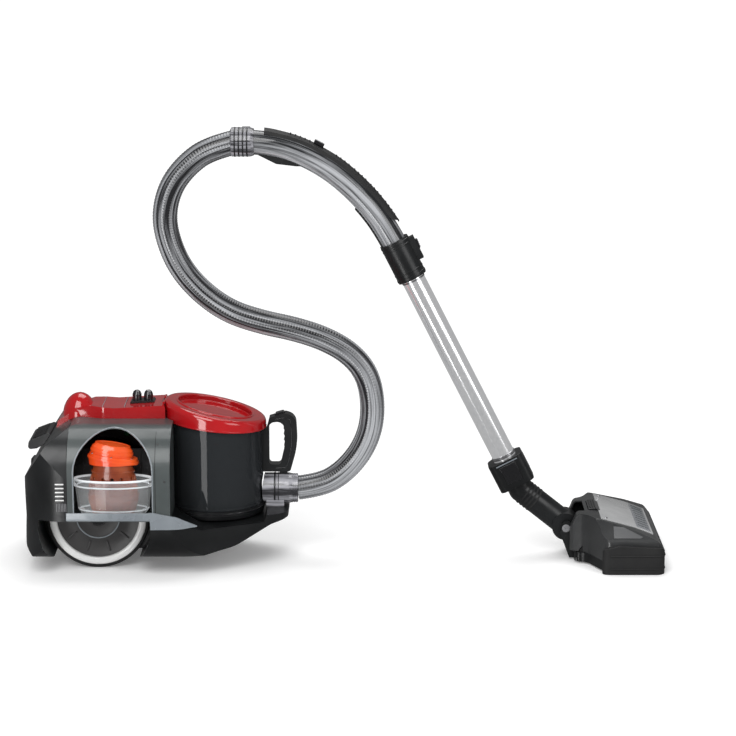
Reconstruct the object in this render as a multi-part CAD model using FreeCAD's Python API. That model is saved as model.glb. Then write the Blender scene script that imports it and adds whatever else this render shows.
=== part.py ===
"""Canister vacuum cleaner: canister, hose, handle, wand and floor nozzle as separate solids.

Millimetres.  +X points forward, from the canister to the nozzle, +Y to the machine's left
and +Z up.  The origin is on the floor, under the middle of the whole machine.
"""
import FreeCAD, Part
import math
import os

from FreeCAD import Vector

# ---------------------------------------------------------------- driving dimensions
CASE_HALF = 158.0          # half of the canister's width
CASE_REAR = -552.0         # rearmost face of the casing
CASE_FRONT = -297.0        # front edge of the side casings
CASE_SPLIT = 102.0         # height where chassis and upper casing meet
CASE_TOP = 256.0           # top of the casing under the red spine
SHOULDER = 78.0            # radius of the casing's shoulders
WALL = 3.0                 # thickness of the moulded shells
REAR_SPLIT = -472.0        # where the black rear casing meets the side casings

WHEEL_X = -428.0
WHEEL_R = 90.0
WHEEL_OUT = 86.0           # outer face of a wheel, from the middle plane
AXLE_R = 5.0
WELL_R = 97.0              # wheel well, inside
WELL_IN = 57.0
WELL_OUT = 88.0

POT_X = -228.0             # axis of the dust container
POT_R = 83.0
POT_FLOOR = 80.0
BAY_R = 91.0               # recess of the canister that the container stands in
LID_R = 89.0

MOTOR_X = -396.0
MOTOR_Y = -123.0
REEL_X = -392.0
REEL_Z = 168.0

PORT_Z = 121.0             # height of the hose port's axis
PORT_R = 27.0              # outer radius of the port and of the hose cuffs
HOSE_R = 21.5              # outer radius of the hose
HOSE_BORE = 18.5
HOSE_ROUTE = [(-84, 121), (-44, 126), (-7, 147), (25, 183), (44, 226), (48, 275), (38, 325), (10, 361),
              (-33, 387), (-86, 405), (-144, 417), (-202, 436), (-250, 471), (-286, 514), (-306, 563),
              (-312, 607), (-300, 654),
              (-271, 692), (-232, 720), (-186, 731)]

HANDLE_ROUTE = [(-184, 731), (-140, 731), (-84, 717), (-22, 684), (34, 633), (76, 576), (104, 519)]
GRIP_R = 21.0              # outer radius of the handle tube
HANDLE_BORE = 18.0
WAND_TOP = Vector(104, 0, 519)
WAND_END = Vector(286, 0, 162)
WAND_DIR = (WAND_END - WAND_TOP).normalize()
WAND_LENGTH = (WAND_END - WAND_TOP).Length
WAND_R = 20.4              # outer radius of the lower, sliding tube
INNER_R = 17.0             # outer radius of the upper tube
INNER_LENGTH = 330.0

BALL_R = 22.0              # elbow that turns in the wand's collar
NECK_END = Vector(386, 0, 56)
TILT_R = 26.5              # clearance cylinder round the head's tilt axis
HEAD_HALF = 131.0          # half of the floor head's width, over its bumper
HEAD_FRONT = 550.0
ROLLER_X = 424.0
ROLLER_R = 16.0

FIT = 0.06                 # radial running clearance of shafts and pins
GAP = 0.4                  # clearance between pieces that move past each other

X_AXIS = Vector(1, 0, 0)
Y_AXIS = Vector(0, 1, 0)
Z_AXIS = Vector(0, 0, 1)


# ---------------------------------------------------------------- shape helpers
def box(x0, x1, y0, y1, z0, z1):
    """A box between two corners."""
    return Part.makeBox(x1 - x0, y1 - y0, z1 - z0, Vector(x0, y0, z0))


def rod(radius, start, end):
    """A solid cylinder from one point to another."""
    start = Vector(*start)
    end = Vector(*end)
    return Part.makeCylinder(radius, (end - start).Length, start, end - start)


def pipe(outer, inner, start, end):
    """A tube from one point to another."""
    start = Vector(*start)
    end = Vector(*end)
    way = end - start
    way.normalize()
    core = Part.makeCylinder(inner, (end - start).Length + 2.0, start - way, way)
    return rod(outer, start, end).cut(core)


def arc_at(before, point, after, radius):
    """Start, middle and end of the arc that rounds one corner of a path."""
    back = (before - point).normalize()
    ahead = (after - point).normalize()
    half = back.getAngle(ahead) / 2.0
    reach = radius / math.tan(half)
    centre = point + (back + ahead).normalize() * (radius / math.sin(half))
    middle = centre + (point - centre).normalize() * radius
    return point + back * reach, middle, point + ahead * reach


def rounded_wire(corners):
    """A closed wire through (point, radius) corners, each corner an arc where its radius is not 0."""
    edges = []
    ends = []
    count = len(corners)
    for index, (point, radius) in enumerate(corners):
        if radius > 0:
            before = corners[index - 1][0]
            after = corners[(index + 1) % count][0]
            start, middle, end = arc_at(before, point, after, radius)
            edges.append(Part.Arc(start, middle, end).toShape())
            ends.append((start, end))
        else:
            ends.append((point, point))
    for index in range(count):
        start = ends[index][1]
        end = ends[(index + 1) % count][0]
        if (end - start).Length > 1e-6:
            edges.append(Part.LineSegment(start, end).toShape())
    return Part.Wire(Part.__sortEdges__(edges))


def side_prism(outline, y0, y1, inset=0.0):
    """Extrude an outline of (x, z, radius) corners across the machine."""
    wire = rounded_wire([(Vector(x, y0, z), r) for x, z, r in outline])
    return shrink(Part.Face(wire), inset).extrude(Vector(0, y1 - y0, 0))


def plan_prism(outline, z0, z1, inset=0.0):
    """Extrude an outline of (x, y, radius) corners upwards."""
    wire = rounded_wire([(Vector(x, y, z0), r) for x, y, r in outline])
    return shrink(Part.Face(wire), inset).extrude(Vector(0, 0, z1 - z0))


def front_prism(outline, x0, x1, inset=0.0):
    """Extrude an outline of (y, z, radius) corners along the machine."""
    wire = rounded_wire([(Vector(x0, y, z), r) for y, z, r in outline])
    return shrink(Part.Face(wire), inset).extrude(Vector(x1 - x0, 0, 0))


def shrink(face, inset):
    """Move a face's outline inwards."""
    if inset == 0.0:
        return face
    return Part.Face(face.makeOffset2D(-inset).OuterWire)


def mirrored(outline):
    """A closed plan outline from its left half, given from rear to front."""
    return outline + [(x, -y, r) for x, y, r in reversed(outline)]


def turned(profile, base, axis):
    """Revolve a closed (radius, height) profile about an axis through a base point."""
    points = [Vector(r, 0, h) for r, h in profile]
    solid = Part.Face(Part.makePolygon(points + points[:1])).revolve(Vector(), Z_AXIS, 360)
    solid.Placement = FreeCAD.Placement(Vector(*base), FreeCAD.Rotation(Z_AXIS, axis))
    return solid


def dome_profile(radius, foot, height, steps):
    """Closed (radius, height) profile of a rounded knob that stands on its foot."""
    profile = [(0, foot - 2), (radius, foot - 2)]
    for index in range(steps + 1):
        turn = math.pi / 2.0 * index / steps
        profile.append((radius * math.cos(turn), foot + height * math.sin(turn)))
    profile[-1] = (0, foot + height)
    return profile


def union(shapes):
    """One solid from overlapping shapes."""
    return shapes[0].multiFuse(shapes[1:]).removeSplitter()


def oval(half_x, half_y, centre):
    """A horizontal elliptical wire, longer along X."""
    return Part.Wire(Part.Ellipse(Vector(*centre), half_x, half_y).toShape())


def oval_cup(centre, sizes):
    """A solid through ovals stacked upwards; sizes holds (height, half_x, half_y)."""
    wires = [oval(a, b, (centre[0], centre[1], z)) for z, a, b in sizes]
    return Part.makeLoft(wires, True, True)


def save(name, shape):
    """Write one piece as a STEP file."""
    shape.exportStep("parts/" + name + ".step")
    facts = (name, len(shape.Solids), shape.Volume, shape.isValid())
    print("%-24s solids %d  volume %9.0f  valid %s" % facts)


# ---------------------------------------------------------------- canister casing
HULL_SIDE = [(CASE_REAR + 4, CASE_SPLIT, 0), (CASE_REAR, 48, 10), (-532, 27, 14), (-290, 27, 120),
             (-190, 44, 80), (-128, 76, 30), (-100, 82, 0), (-100, 92, 0), (-137, 92, 0),
             (-141, POT_FLOOR, 0), (-245, POT_FLOOR, 0), (-297, CASE_SPLIT, 0)]
HULL_PLAN = [(CASE_REAR, CASE_HALF, 75), (-285, CASE_HALF, 40), (-215, 116, 60), (-100, 62, 40)]
HULL_SECTION = [(-CASE_HALF, CASE_SPLIT + 1, 0), (-CASE_HALF, 27, 55), (CASE_HALF, 27, 55),
                (CASE_HALF, CASE_SPLIT + 1, 0)]
CASE_SIDE = [(CASE_REAR + 4, CASE_SPLIT, 0), (CASE_REAR, 165, 12), (-508, 232, 30), (-470, CASE_TOP, 40),
             (CASE_FRONT, CASE_TOP, 0), (CASE_FRONT, CASE_SPLIT, 0)]
CASE_SECTION = [(-CASE_HALF, CASE_SPLIT - 1, 0), (-CASE_HALF, CASE_TOP, SHOULDER),
                (CASE_HALF, CASE_TOP, SHOULDER), (CASE_HALF, CASE_SPLIT - 1, 0)]


def wheel_cut(reach):
    """The two circular arches that the wheels turn in, open to the sides below the casing."""
    cuts = []
    for side in (-1, 1):
        cuts.append(rod(WELL_R, (WHEEL_X, side * WELL_IN, WHEEL_R), (WHEEL_X, side * reach, WHEEL_R)))
    return cuts[0].fuse(cuts[1])


def chassis():
    """Boat-shaped tub: keel between the wheels, container deck in front, caster pocket below."""
    plan = mirrored(HULL_PLAN)
    outer = side_prism(HULL_SIDE, -200, 200).common(plan_prism(plan, 0, 200))
    outer = outer.common(front_prism(HULL_SECTION, -600, -50))
    core = side_prism(HULL_SIDE, -200, 200, WALL).common(plan_prism(plan, 0, 200, WALL))
    core = core.common(front_prism(HULL_SECTION, -600, -50, WALL))
    lift = box(-600, CASE_FRONT, -200, 200, CASE_SPLIT - 2 * WALL, CASE_SPLIT + 20)
    core = core.fuse(plan_prism(plan, CASE_SPLIT - 2 * WALL, CASE_SPLIT + 20, WALL).common(lift))
    arch_walls = []
    for side in (-1, 1):
        arch_walls.append(rod(WELL_R + WALL, (WHEEL_X, side * (WELL_IN - WALL), WHEEL_R),
                              (WHEEL_X, side * 200, WHEEL_R)))
    core = core.cut(arch_walls[0].fuse(arch_walls[1]))
    pocket = rod(CASTER_POCKET + WALL, (CASTER_X, 0, 0), (CASTER_X, 0, 53))
    boss = rod(12, (CASTER_X, 0, 50), (CASTER_X, 0, 68))
    stand = rod(BAY_R - 3, (POT_X, 0, POT_FLOOR), (POT_X, 0, 200))
    core = core.cut(pocket).cut(boss)
    core = core.cut(rod(BAY_R - 3 + WALL, (POT_X, 0, POT_FLOOR - WALL), (POT_X, 0, 200)))
    shell = outer.cut(core).cut(wheel_cut(200)).cut(stand)
    shell = shell.cut(rod(CASTER_POCKET, (CASTER_X, 0, 0), (CASTER_X, 0, 50)))
    shell = shell.cut(rod(CASTER_STEM + FIT, (CASTER_X, 0, 40), (CASTER_X, 0, 66)))
    return shell.cut(rod(AXLE_R, (WHEEL_X, -80, WHEEL_R), (WHEEL_X, 80, WHEEL_R)))


def case_shell():
    """The whole upper casing as one shell, before it is divided."""
    plan = [(CASE_REAR, CASE_HALF, 75), (CASE_FRONT, CASE_HALF, 0)]
    outer = side_prism(CASE_SIDE, -200, 200).common(plan_prism(mirrored(plan), 50, 300))
    outer = outer.common(front_prism(CASE_SECTION, -600, -200))
    core = side_prism(CASE_SIDE, -200, 200, WALL).common(plan_prism(mirrored(plan), 50, 300, WALL))
    core = core.common(front_prism(CASE_SECTION, -600, -200, WALL))
    foot = box(-600, -200, -200, 200, CASE_SPLIT - 10, CASE_SPLIT + 5)
    core = core.fuse(plan_prism(mirrored(plan), CASE_SPLIT - 10, CASE_SPLIT + 5, WALL).common(foot))
    core = core.cut(rod(BAY_R + WALL, (POT_X, 0, 50), (POT_X, 0, 300)))
    return outer.cut(rod(BAY_R, (POT_X, 0, 50), (POT_X, 0, 300))).cut(core)


WINDOW = [(-460, 112, 6), (-460, 252, 64), (-328, 252, 64), (-328, 112, 6)]


def pod_floor(side):
    """The floor of a side pod, above its wheel."""
    y0, y1 = sorted((side * (WELL_OUT + WALL), side * (CASE_HALF - WALL)))
    return box(REAR_SPLIT, CASE_FRONT - 12, y0, y1, CASE_SPLIT, CASE_SPLIT + WALL)


def side_casing(side, shell):
    """One side of the casing with the floor of its pod; the right one has the arched window."""
    y0, y1 = sorted((0, side * 200))
    half = shell.common(box(REAR_SPLIT, -200, y0, y1, 50, 300))
    half = half.fuse(pod_floor(side)).removeSplitter().cut(button_wells())
    if side < 0:
        half = half.cut(side_prism(WINDOW, -200, -92))
    return half


DOOR_HALF = 50.0
DOOR_LOW = 112.0
DOOR_HIGH = 158.0
OUTLET = (CASE_REAR, 68.0, 150.0)
LOUVRE_LOW = 138.0
LOUVRE_PITCH = 7.0


def rear_casing(shell):
    """Black rear shell with the exhaust opening, the cable outlet's hole and side louvres."""
    rear = shell.common(box(-600, REAR_SPLIT, -200, 200, 50, 300))
    rear = rear.cut(box(-560, -540, -DOOR_HALF - GAP, DOOR_HALF + GAP, DOOR_LOW - GAP, DOOR_HIGH + GAP))
    x, y, z = OUTLET
    rear = rear.cut(rod(10, (x - 10, y, z), (x + 20, y, z)))
    for index in range(5):
        low = LOUVRE_LOW + index * LOUVRE_PITCH
        rear = rear.cut(box(-493, -476, -170, -120, low, low + 3.5))
    return rear


def exhaust_door():
    """Flap over the exhaust filter with air slots, hinged along its lower edge."""
    plate = side_prism([(-548, DOOR_LOW, 0), (-554.5, DOOR_LOW, 1.5), (-554.5, DOOR_HIGH, 3),
                        (-551, DOOR_HIGH, 0)], -DOOR_HALF, DOOR_HALF)
    for index in range(9):
        middle = -40 + index * 10
        plate = plate.cut(box(-560, -540, middle - 2.5, middle + 2.5, DOOR_LOW + 10, DOOR_HIGH - 10))
    return plate


def exhaust_filter():
    """Pleated exhaust filter block just inside the flap."""
    block = box(-538, -522, -46, 46, DOOR_LOW, DOOR_HIGH - 6)
    for index in range(10):
        middle = -41.4 + index * 9.2
        block = block.cut(box(-540, -531, middle - 2.0, middle + 2.0, DOOR_LOW + 4, DOOR_HIGH - 10))
    return block


def cable_outlet():
    """Bush that the mains cord leaves through."""
    x, y, z = OUTLET
    profile = [(4.5, -9), (7, -9), (13, -4), (13, 0), (9.95, 0), (9.95, 12), (4.5, 12)]
    return turned(profile, (x, y, z), X_AXIS)


def rear_grip():
    """Lip at the upper rear edge that fingers lift the canister by."""
    return side_prism([(-536, 202, 0), (-552, 200, 5), (-550, 216, 8), (-514, 231, 5), (-507, 224, 0),
                       (-513, 217, 0), (-524, 209, 0)], -42, 42).cut(rear_clear())


def rear_clear():
    """The casing's own outer form, which pieces on top of it are trimmed to."""
    return side_prism(CASE_SIDE, -210, 210)


# ---------------------------------------------------------------- top, buttons, trims
def top_cover():
    """Glossy red spine with the round rear boss and its tail down the rear slope."""
    spine = side_prism([(-470, CASE_TOP, 0), (-470, 270, 6), (-440, 277, 10), (-400, 274, 40),
                        (-312, 279, 6), (-312, CASE_TOP, 0)], -45, 45)
    plan = [(-474, 24, 14), (-420, 44, 20), (-310, 44, 0)]
    spine = spine.common(plan_prism(mirrored(plan), 250, 300))
    boss = turned(dome_profile(30, 252, 41, 12), (-464, 0, 0), Z_AXIS)
    tail = side_prism([(-500, 248, 6), (-462, 272, 0), (-462, CASE_TOP - 4, 0), (-480, 244, 0), (-506, 226, 3)],
                      -24, 24)
    cover = union([spine, boss, tail]).cut(rear_clear())
    return cover.cut(rod(BAY_R + 1, (POT_X, 0, 200), (POT_X, 0, 300))).cut(button_wells())


BUTTON_X = (-364.0, -344.0)
BUTTON_R = 8.0


def button_wells():
    """Holes through the spine for the two button stems."""
    wells = [rod(BUTTON_R + GAP, (x, 0, 245), (x, 0, 290)) for x in BUTTON_X]
    return wells[0].fuse(wells[1])


def button_bezel():
    """Black plinth round the two buttons."""
    plate = side_prism([(-376, 274, 0), (-374, 280, 3), (-334, 281, 3), (-331, 276, 0)], -15, 15)
    hollow = [(-380, 265, 0), (-380, 275.6, 0), (-325, 278.7, 0), (-325, 265, 0)]
    plate = plate.cut(side_prism(hollow, -20, 20))
    return plate.cut(button_wells())


def push_button(x):
    """A tall round-headed push button on its stem."""
    profile = [(0, 246), (5, 246), (5, 262), (BUTTON_R, 262), (BUTTON_R, 290), (6, 295), (3, 297),
               (0, 297.5)]
    return turned(profile, (x, 0, 0), Z_AXIS)


def sill(side):
    """Silver band along the lower edge of one side, over the wheel and down its front."""
    plan = mirrored(HULL_PLAN)
    ring = plan_prism(plan, 70, 130, -2.2).cut(plan_prism(plan, 60, 140, -0.2))
    band = [(-484, 103, 3), (-484, 118, 5), (-325, 118, 20), (-286, 110, 20), (-250, 89, 1), (-340, 88, 3),
            (-340, 103, 0)]
    y0, y1 = sorted((side * 20, side * 220))
    band = side_prism(band, y0, y1).cut(rod(WELL_R, (WHEEL_X, -220, WHEEL_R), (WHEEL_X, 220, WHEEL_R)))
    return ring.common(band)


def wheel_housing(side):
    """Half-round cover over the upper part of one wheel."""
    outer = rod(WELL_R + WALL, (WHEEL_X, side * (WELL_IN - WALL), WHEEL_R),
                (WHEEL_X, side * (WELL_OUT + WALL), WHEEL_R))
    inner = rod(WELL_R, (WHEEL_X, side * WELL_IN, WHEEL_R), (WHEEL_X, side * WELL_OUT, WHEEL_R))
    return outer.cut(inner).common(box(-540, -310, -200, 200, CASE_SPLIT, 300))


# ---------------------------------------------------------------- rear wheels
def rear_axle():
    """Steel axle through the keel that carries both wheels."""
    return rod(AXLE_R, (WHEEL_X, -82, WHEEL_R), (WHEEL_X, 82, WHEEL_R))


def wheel_piece(side, profile):
    """Revolve a (radius, distance from the middle plane) profile about the rear axle."""
    return turned(profile, (WHEEL_X, 0, WHEEL_R), Y_AXIS * side)


def tyre(side):
    """Soft black tread with rounded shoulders."""
    return wheel_piece(side, [(76, 61), (86, 61), (89, 63), (WHEEL_R, 67), (WHEEL_R, 81), (89, 84.5), (87, WHEEL_OUT),
                              (84.3, WHEEL_OUT), (84.3, 81.9), (76, 81.9)])


def rim(side):
    """Dished wheel disc with its hub and a raised ring halfway out."""
    bore = AXLE_R + FIT
    return wheel_piece(side, [(bore, WELL_IN + 1), (13, WELL_IN + 1), (13, 74), (68, 77), (68, 62), (75.9, 62),
                              (75.9, 81.7), (70, 81.7), (68, 81), (38.5, 80), (38.5, 82), (35, 82), (35, 80),
                              (16, 81), (14, 86), (8, 87.5), (0, 87.6), (0, 83), (bore, 83)])


def trim_ring(side):
    """White ring set into the outer face of a wheel."""
    return wheel_piece(side, [(71, 82), (84.1, 82), (84.1, 86.4), (82, 87.2), (73, 87.2), (71, 85)])


# ---------------------------------------------------------------- front caster
CASTER_X = -266.0
CASTER_POCKET = 36.0
CASTER_STEM = 6.0
CASTER_R = 16.0
CASTER_TRAIL = 12.0


def caster_fork():
    """Swivelling fork with its stem."""
    stem = rod(CASTER_STEM, (CASTER_X, 0, 38), (CASTER_X, 0, 64))
    crown = rod(15, (CASTER_X, 0, 37), (CASTER_X, 0, 43))
    axle_x = CASTER_X - CASTER_TRAIL
    cheek = [(CASTER_X - 8, 43, 0), (CASTER_X + 9, 43, 0), (CASTER_X + 9, 36, 4), (axle_x + 6, 10, 6),
             (axle_x - 6, 10, 6), (axle_x - 7, 26, 6)]
    sides = [side_prism(cheek, 11, 14), side_prism(cheek, -14, -11)]
    fork = union([stem, crown] + sides)
    pin = rod(2.5, (axle_x, -14, CASTER_R), (axle_x, 14, CASTER_R))
    return fork.fuse(pin).removeSplitter()


def caster_wheel():
    """Small rubber-faced front wheel."""
    return turned([(2.5 + FIT, -10), (13, -10), (CASTER_R, -7), (CASTER_R, 7), (13, 10), (2.5 + FIT, 10)],
                  (CASTER_X - CASTER_TRAIL, 0, CASTER_R), Y_AXIS)


# ---------------------------------------------------------------- motor
MOTOR_FLOOR = 107.0
MOTOR_SPLIT = 196.0        # where the cap sits on the housing
CAP_LEAN = 9.0             # degrees that the cap's tiers lean forward


def motor_bowl():
    """Clear oval bowl with a rolled rim that the motor stands in."""
    centre = (MOTOR_X, MOTOR_Y)
    outer = oval_cup(centre, [(CASE_SPLIT + WALL + 0.2, 52, 24), (118, 61, 28), (158, 65, 29.5)])
    rim_band = oval_cup(centre, [(158, 68, 30.8), (169, 68, 30.8)])
    core = oval_cup(centre, [(CASE_SPLIT + WALL + 3, 48, 21), (120, 58, 25.5), (170, 62.5, 27.5)])
    return outer.fuse(rim_band).removeSplitter().cut(core)


def motor_housing():
    """Copper-coloured fan housing, flared towards its foot, with its rubber foot's seat."""
    centre = (MOTOR_X, MOTOR_Y)
    body = oval_cup(centre, [(MOTOR_FLOOR + 1.5, 36, 19), (134, 44, 24.5), (152, 42, 24.5), (MOTOR_SPLIT, 33, 22)])
    chamber = rod(19, (MOTOR_X, MOTOR_Y, 116), (MOTOR_X, MOTOR_Y, 190))
    bore = rod(3 + FIT, (MOTOR_X, MOTOR_Y, 110), (MOTOR_X, MOTOR_Y, 215))
    body = body.cut(chamber).cut(bore)
    for index in range(10):
        turn = math.radians(36 * index + 18)
        start = (MOTOR_X + 14 * math.cos(turn), MOTOR_Y + 14 * math.sin(turn), 172)
        end = (MOTOR_X + 60 * math.cos(turn), MOTOR_Y + 60 * math.sin(turn), 172)
        body = body.cut(rod(3.2, start, end))
    return body


def motor_cap():
    """Bright upper cap in two tiers that lean forward."""
    centre = (MOTOR_X, MOTOR_Y)
    lower = oval_cup(centre, [(188, 39, 24), (204, 43, 25), (211, 41, 24)])
    upper = oval_cup((MOTOR_X - 4, MOTOR_Y), [(211, 36, 21), (223, 35, 20.5), (229, 29, 17)])
    lower.rotate(Vector(MOTOR_X, MOTOR_Y, 200), Y_AXIS, CAP_LEAN)
    upper.rotate(Vector(MOTOR_X, MOTOR_Y, 200), Y_AXIS, CAP_LEAN)
    cap = lower.fuse(upper).removeSplitter()
    cap = cap.cut(box(MOTOR_X - 60, MOTOR_X + 60, MOTOR_Y - 40, MOTOR_Y + 40, 150, MOTOR_SPLIT + 0.2))
    return cap.cut(rod(3 + FIT, (MOTOR_X, MOTOR_Y, 190), (MOTOR_X, MOTOR_Y, 208)))


def impeller():
    """Fan disc with its blades on the motor's shaft."""
    shaft = rod(3, (MOTOR_X, MOTOR_Y, 111), (MOTOR_X, MOTOR_Y, 206))
    disc = rod(17.5, (MOTOR_X, MOTOR_Y, 124), (MOTOR_X, MOTOR_Y, 127))
    hub = rod(6, (MOTOR_X, MOTOR_Y, 126), (MOTOR_X, MOTOR_Y, 142))
    blade = box(5, 16.5, -0.8, 0.8, 126.5, 138)
    blades = []
    for index in range(9):
        turned_blade = blade.copy()
        turned_blade.rotate(Vector(), Z_AXIS, 40 * index)
        turned_blade.translate(Vector(MOTOR_X, MOTOR_Y, 0))
        blades.append(turned_blade)
    return disc.multiFuse([shaft, hub] + blades).removeSplitter()


# ---------------------------------------------------------------- cable reel, board
def cable_drum():
    """Two-flanged drum for the mains cord."""
    return turned([(6 + FIT, 96), (57, 96), (57, 99), (26, 99), (26, 129), (57, 129), (57, 132), (6 + FIT, 132),
                   (6 + FIT, 128), (22, 128), (22, 101), (6 + FIT, 101)], (REEL_X, 0, REEL_Z), Y_AXIS)


def reel_axle():
    """Fixed axle of the cable drum with the rewind spring's barrel inside the drum's hub."""
    axle = rod(6, (REEL_X, WELL_OUT + WALL, REEL_Z), (REEL_X, CASE_HALF - WALL, REEL_Z))
    return axle.fuse(rod(19, (REEL_X, 108, REEL_Z), (REEL_X, 120, REEL_Z))).removeSplitter()


def control_board():
    """Circuit board with its switch and capacitor below the buttons."""
    board = box(-392, -330, -32, 32, 232, 234)
    parts = [rod(6, (x, 0, 233.5), (x, 0, 241)) for x in BUTTON_X]
    parts.append(rod(8, (-382, 20, 212), (-382, 20, 232.5)))
    parts.append(box(-352, -336, -26, -14, 222, 232.5))
    posts = [rod(3, (x, y, 233), (x, y, CASE_TOP - WALL)) for x in (-388, -334) for y in (-28, 28)]
    return board.multiFuse(parts + posts).removeSplitter()


# ---------------------------------------------------------------- dust container
LID_REAR = 252.0           # height of the lid's lower edge at its rear
LID_FRONT = 232.0
LID_TOP_REAR = 287.0
LID_TOP_FRONT = 248.0
LID_HINGE_X = -319.0
LID_HINGE_Z = 289.0


def lid_line(x, rear, front):
    """Height at x of a sloping plane given at the lid's rear and front."""
    return front + (rear - front) * (POT_X + LID_R - x) / (2 * LID_R)


def below(rear, front):
    """Everything below a sloping plane across the lid."""
    x0 = POT_X - 130
    x1 = POT_X + 130
    return side_prism([(x0, 0, 0), (x0, lid_line(x0, rear, front), 0), (x1, lid_line(x1, rear, front), 0),
                       (x1, 0, 0)], -150, 150)


def container_wall():
    """Smoked clear cylinder with its inlet stub."""
    wall = pipe(POT_R, POT_R - 2.6, (POT_X, 0, 96), (POT_X, 0, 262))
    wall = wall.common(below(LID_REAR - 0.6, LID_FRONT - 0.6))
    front = POT_X + POT_R
    bore = rod(PORT_R - 4, (front - 12, 0, PORT_Z), (front + 10, 0, PORT_Z))
    stub = pipe(PORT_R - 2.1, PORT_R - 4, (front - 30, 0, PORT_Z), (front - 1.5, 0, PORT_Z))
    stub = stub.common(rod(POT_R - 1, (POT_X, 0, 90), (POT_X, 0, 200)))
    return wall.fuse(stub).removeSplitter().cut(bore)


def container_base():
    """Dark foot ring and floor of the container."""
    return turned([(0, POT_FLOOR + 0.6), (78, POT_FLOOR + 0.6), (84, 84), (85.5, 90), (85.5, 98), (POT_R + 0.1, 99),
                   (POT_R + 0.1, 95.8), (79, 95.8), (79, 90), (0, 90)], (POT_X, 0, 0), Z_AXIS)


def cyclone_cone():
    """Funnel that the dirt spins round, standing on the container's floor."""
    return turned([(20, 90.2), (24, 90.2), (24, 110), (40, 150), (40, 154), (37, 154), (37, 151), (20, 111)],
                  (POT_X, 0, 0), Z_AXIS)


def cyclone_screen():
    """Perforated shroud above the funnel."""
    screen = pipe(46, 44, (POT_X, 0, 154.2), (POT_X, 0, 205))
    plate = pipe(46, 37, (POT_X, 0, 154.2), (POT_X, 0, 156.5))
    screen = screen.fuse(plate).removeSplitter()
    for row in range(3):
        for index in range(12):
            turn = math.radians(30 * index + 15 * (row % 2))
            way = Vector(math.cos(turn), math.sin(turn), 0)
            start = Vector(POT_X, 0, 168 + row * 13) + way * 40
            screen = screen.cut(Part.makeCylinder(4, 12, start, way))
    return screen


def container_filter():
    """Round pleated filter held in the lid."""
    return rod(40, (POT_X, 0, 207), (POT_X, 0, 217))


def container_lid():
    """Glossy red lid, deeper at the rear, with a raised rim round a dished top."""
    body = rod(LID_R, (POT_X, 0, 180), (POT_X, 0, 320))
    body = body.common(below(LID_TOP_REAR, LID_TOP_FRONT)).cut(below(LID_REAR, LID_FRONT))
    rounded = [edge for edge in body.Edges if edge.BoundBox.ZMax > LID_TOP_REAR - 3]
    body = body.makeFillet(9, [rounded[0]]) if rounded else body
    dish = rod(64, (POT_X, 0, 180), (POT_X, 0, 320)).cut(below(LID_TOP_REAR - 7, LID_TOP_FRONT - 7))
    hollow = rod(LID_R - 6, (POT_X, 0, 180), (POT_X, 0, 320))
    hollow = hollow.common(below(LID_TOP_REAR - 12, LID_TOP_FRONT - 12))
    holder = rod(42, (POT_X, 0, 217.2), (POT_X, 0, 262)).common(below(LID_TOP_REAR - 10, LID_TOP_FRONT - 10))
    return body.cut(dish).cut(hollow).fuse(holder).removeSplitter()


def lid_seal():
    """Rubber ring between lid and container."""
    ring = pipe(82.9, 79.5, (POT_X, 0, 180), (POT_X, 0, 300))
    return ring.common(below(LID_REAR + 3, LID_FRONT + 3)).cut(below(LID_REAR - 0.2, LID_FRONT - 0.2))


def container_handle():
    """D-shaped carrying handle on the container's front, clear of the lid's lip as it swings."""
    loop = side_prism([(-151, 244, 0), (-106, 258, 16), (-87, 252, 18), (-84, 200, 120), (-97, 153, 6),
                       (-151, 153, 0)], -12, 12)
    gap = side_prism([(-134, 241, 10), (-108, 243, 12), (-106, 200, 120), (-114, 166, 6), (-134, 166, 6)],
                     -20, 20)
    handle = loop.cut(gap).cut(rod(POT_R + 0.1, (POT_X, 0, 100), (POT_X, 0, 300)))
    handle = handle.cut(rod(LID_R + 1, (POT_X, 0, LID_FRONT - 3), (POT_X, 0, 300)))
    swing = math.hypot(POT_X + LID_R - LID_HINGE_X, LID_HINGE_Z - LID_FRONT) + 1.2
    path = rod(swing, (LID_HINGE_X, -30, LID_HINGE_Z), (LID_HINGE_X, 30, LID_HINGE_Z))
    handle = handle.cut(path.common(box(-160, -100, -30, 30, LID_FRONT - 2.5, 300)))
    return handle.cut(box(-124, -106, -7 - GAP, 7 + GAP, 246.4, 270))


def container_release():
    """Catch button on top of the carrying handle."""
    return side_prism([(-123, 250, 0), (-123, 256.5, 3), (-107, 261, 3), (-107, 250, 0)], -7, 7)


# ---------------------------------------------------------------- hose and its ends
ARC_SHARE = 0.45           # share of the shorter neighbouring run that each bend's arc takes up


def tangent_path(route):
    """Straight runs joined by tangent arcs along a route of (x, z) points in the middle plane."""
    points = [Vector(x, 0, z) for x, z in route]
    edges = []
    place = points[0]
    for before, point, after in zip(points, points[1:], points[2:]):
        turn = (point - before).getAngle(after - point)
        shorter = min((point - before).Length, (after - point).Length)
        start, middle, end = arc_at(before, point, after, ARC_SHARE * shorter / math.tan(turn / 2.0))
        edges.append(Part.LineSegment(place, start).toShape())
        edges.append(Part.Arc(start, middle, end).toShape())
        place = end
    edges.append(Part.LineSegment(place, points[-1]).toShape())
    return Part.Wire(edges)


def swept_rod(route, radius):
    """A solid round bar along a route."""
    path = tangent_path(route)
    start = Vector(route[0][0], 0, route[0][1])
    way = Vector(route[1][0], 0, route[1][1]) - start
    ring = Part.Wire(Part.Circle(start, way, radius).toShape())
    return path.makePipeShell([ring], True, True)


def bent_tube(route, radius, bore):
    """A tube along a route in the middle plane with large tangent arcs."""
    return swept_rod(route, radius).cut(swept_rod(route, bore))


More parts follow.
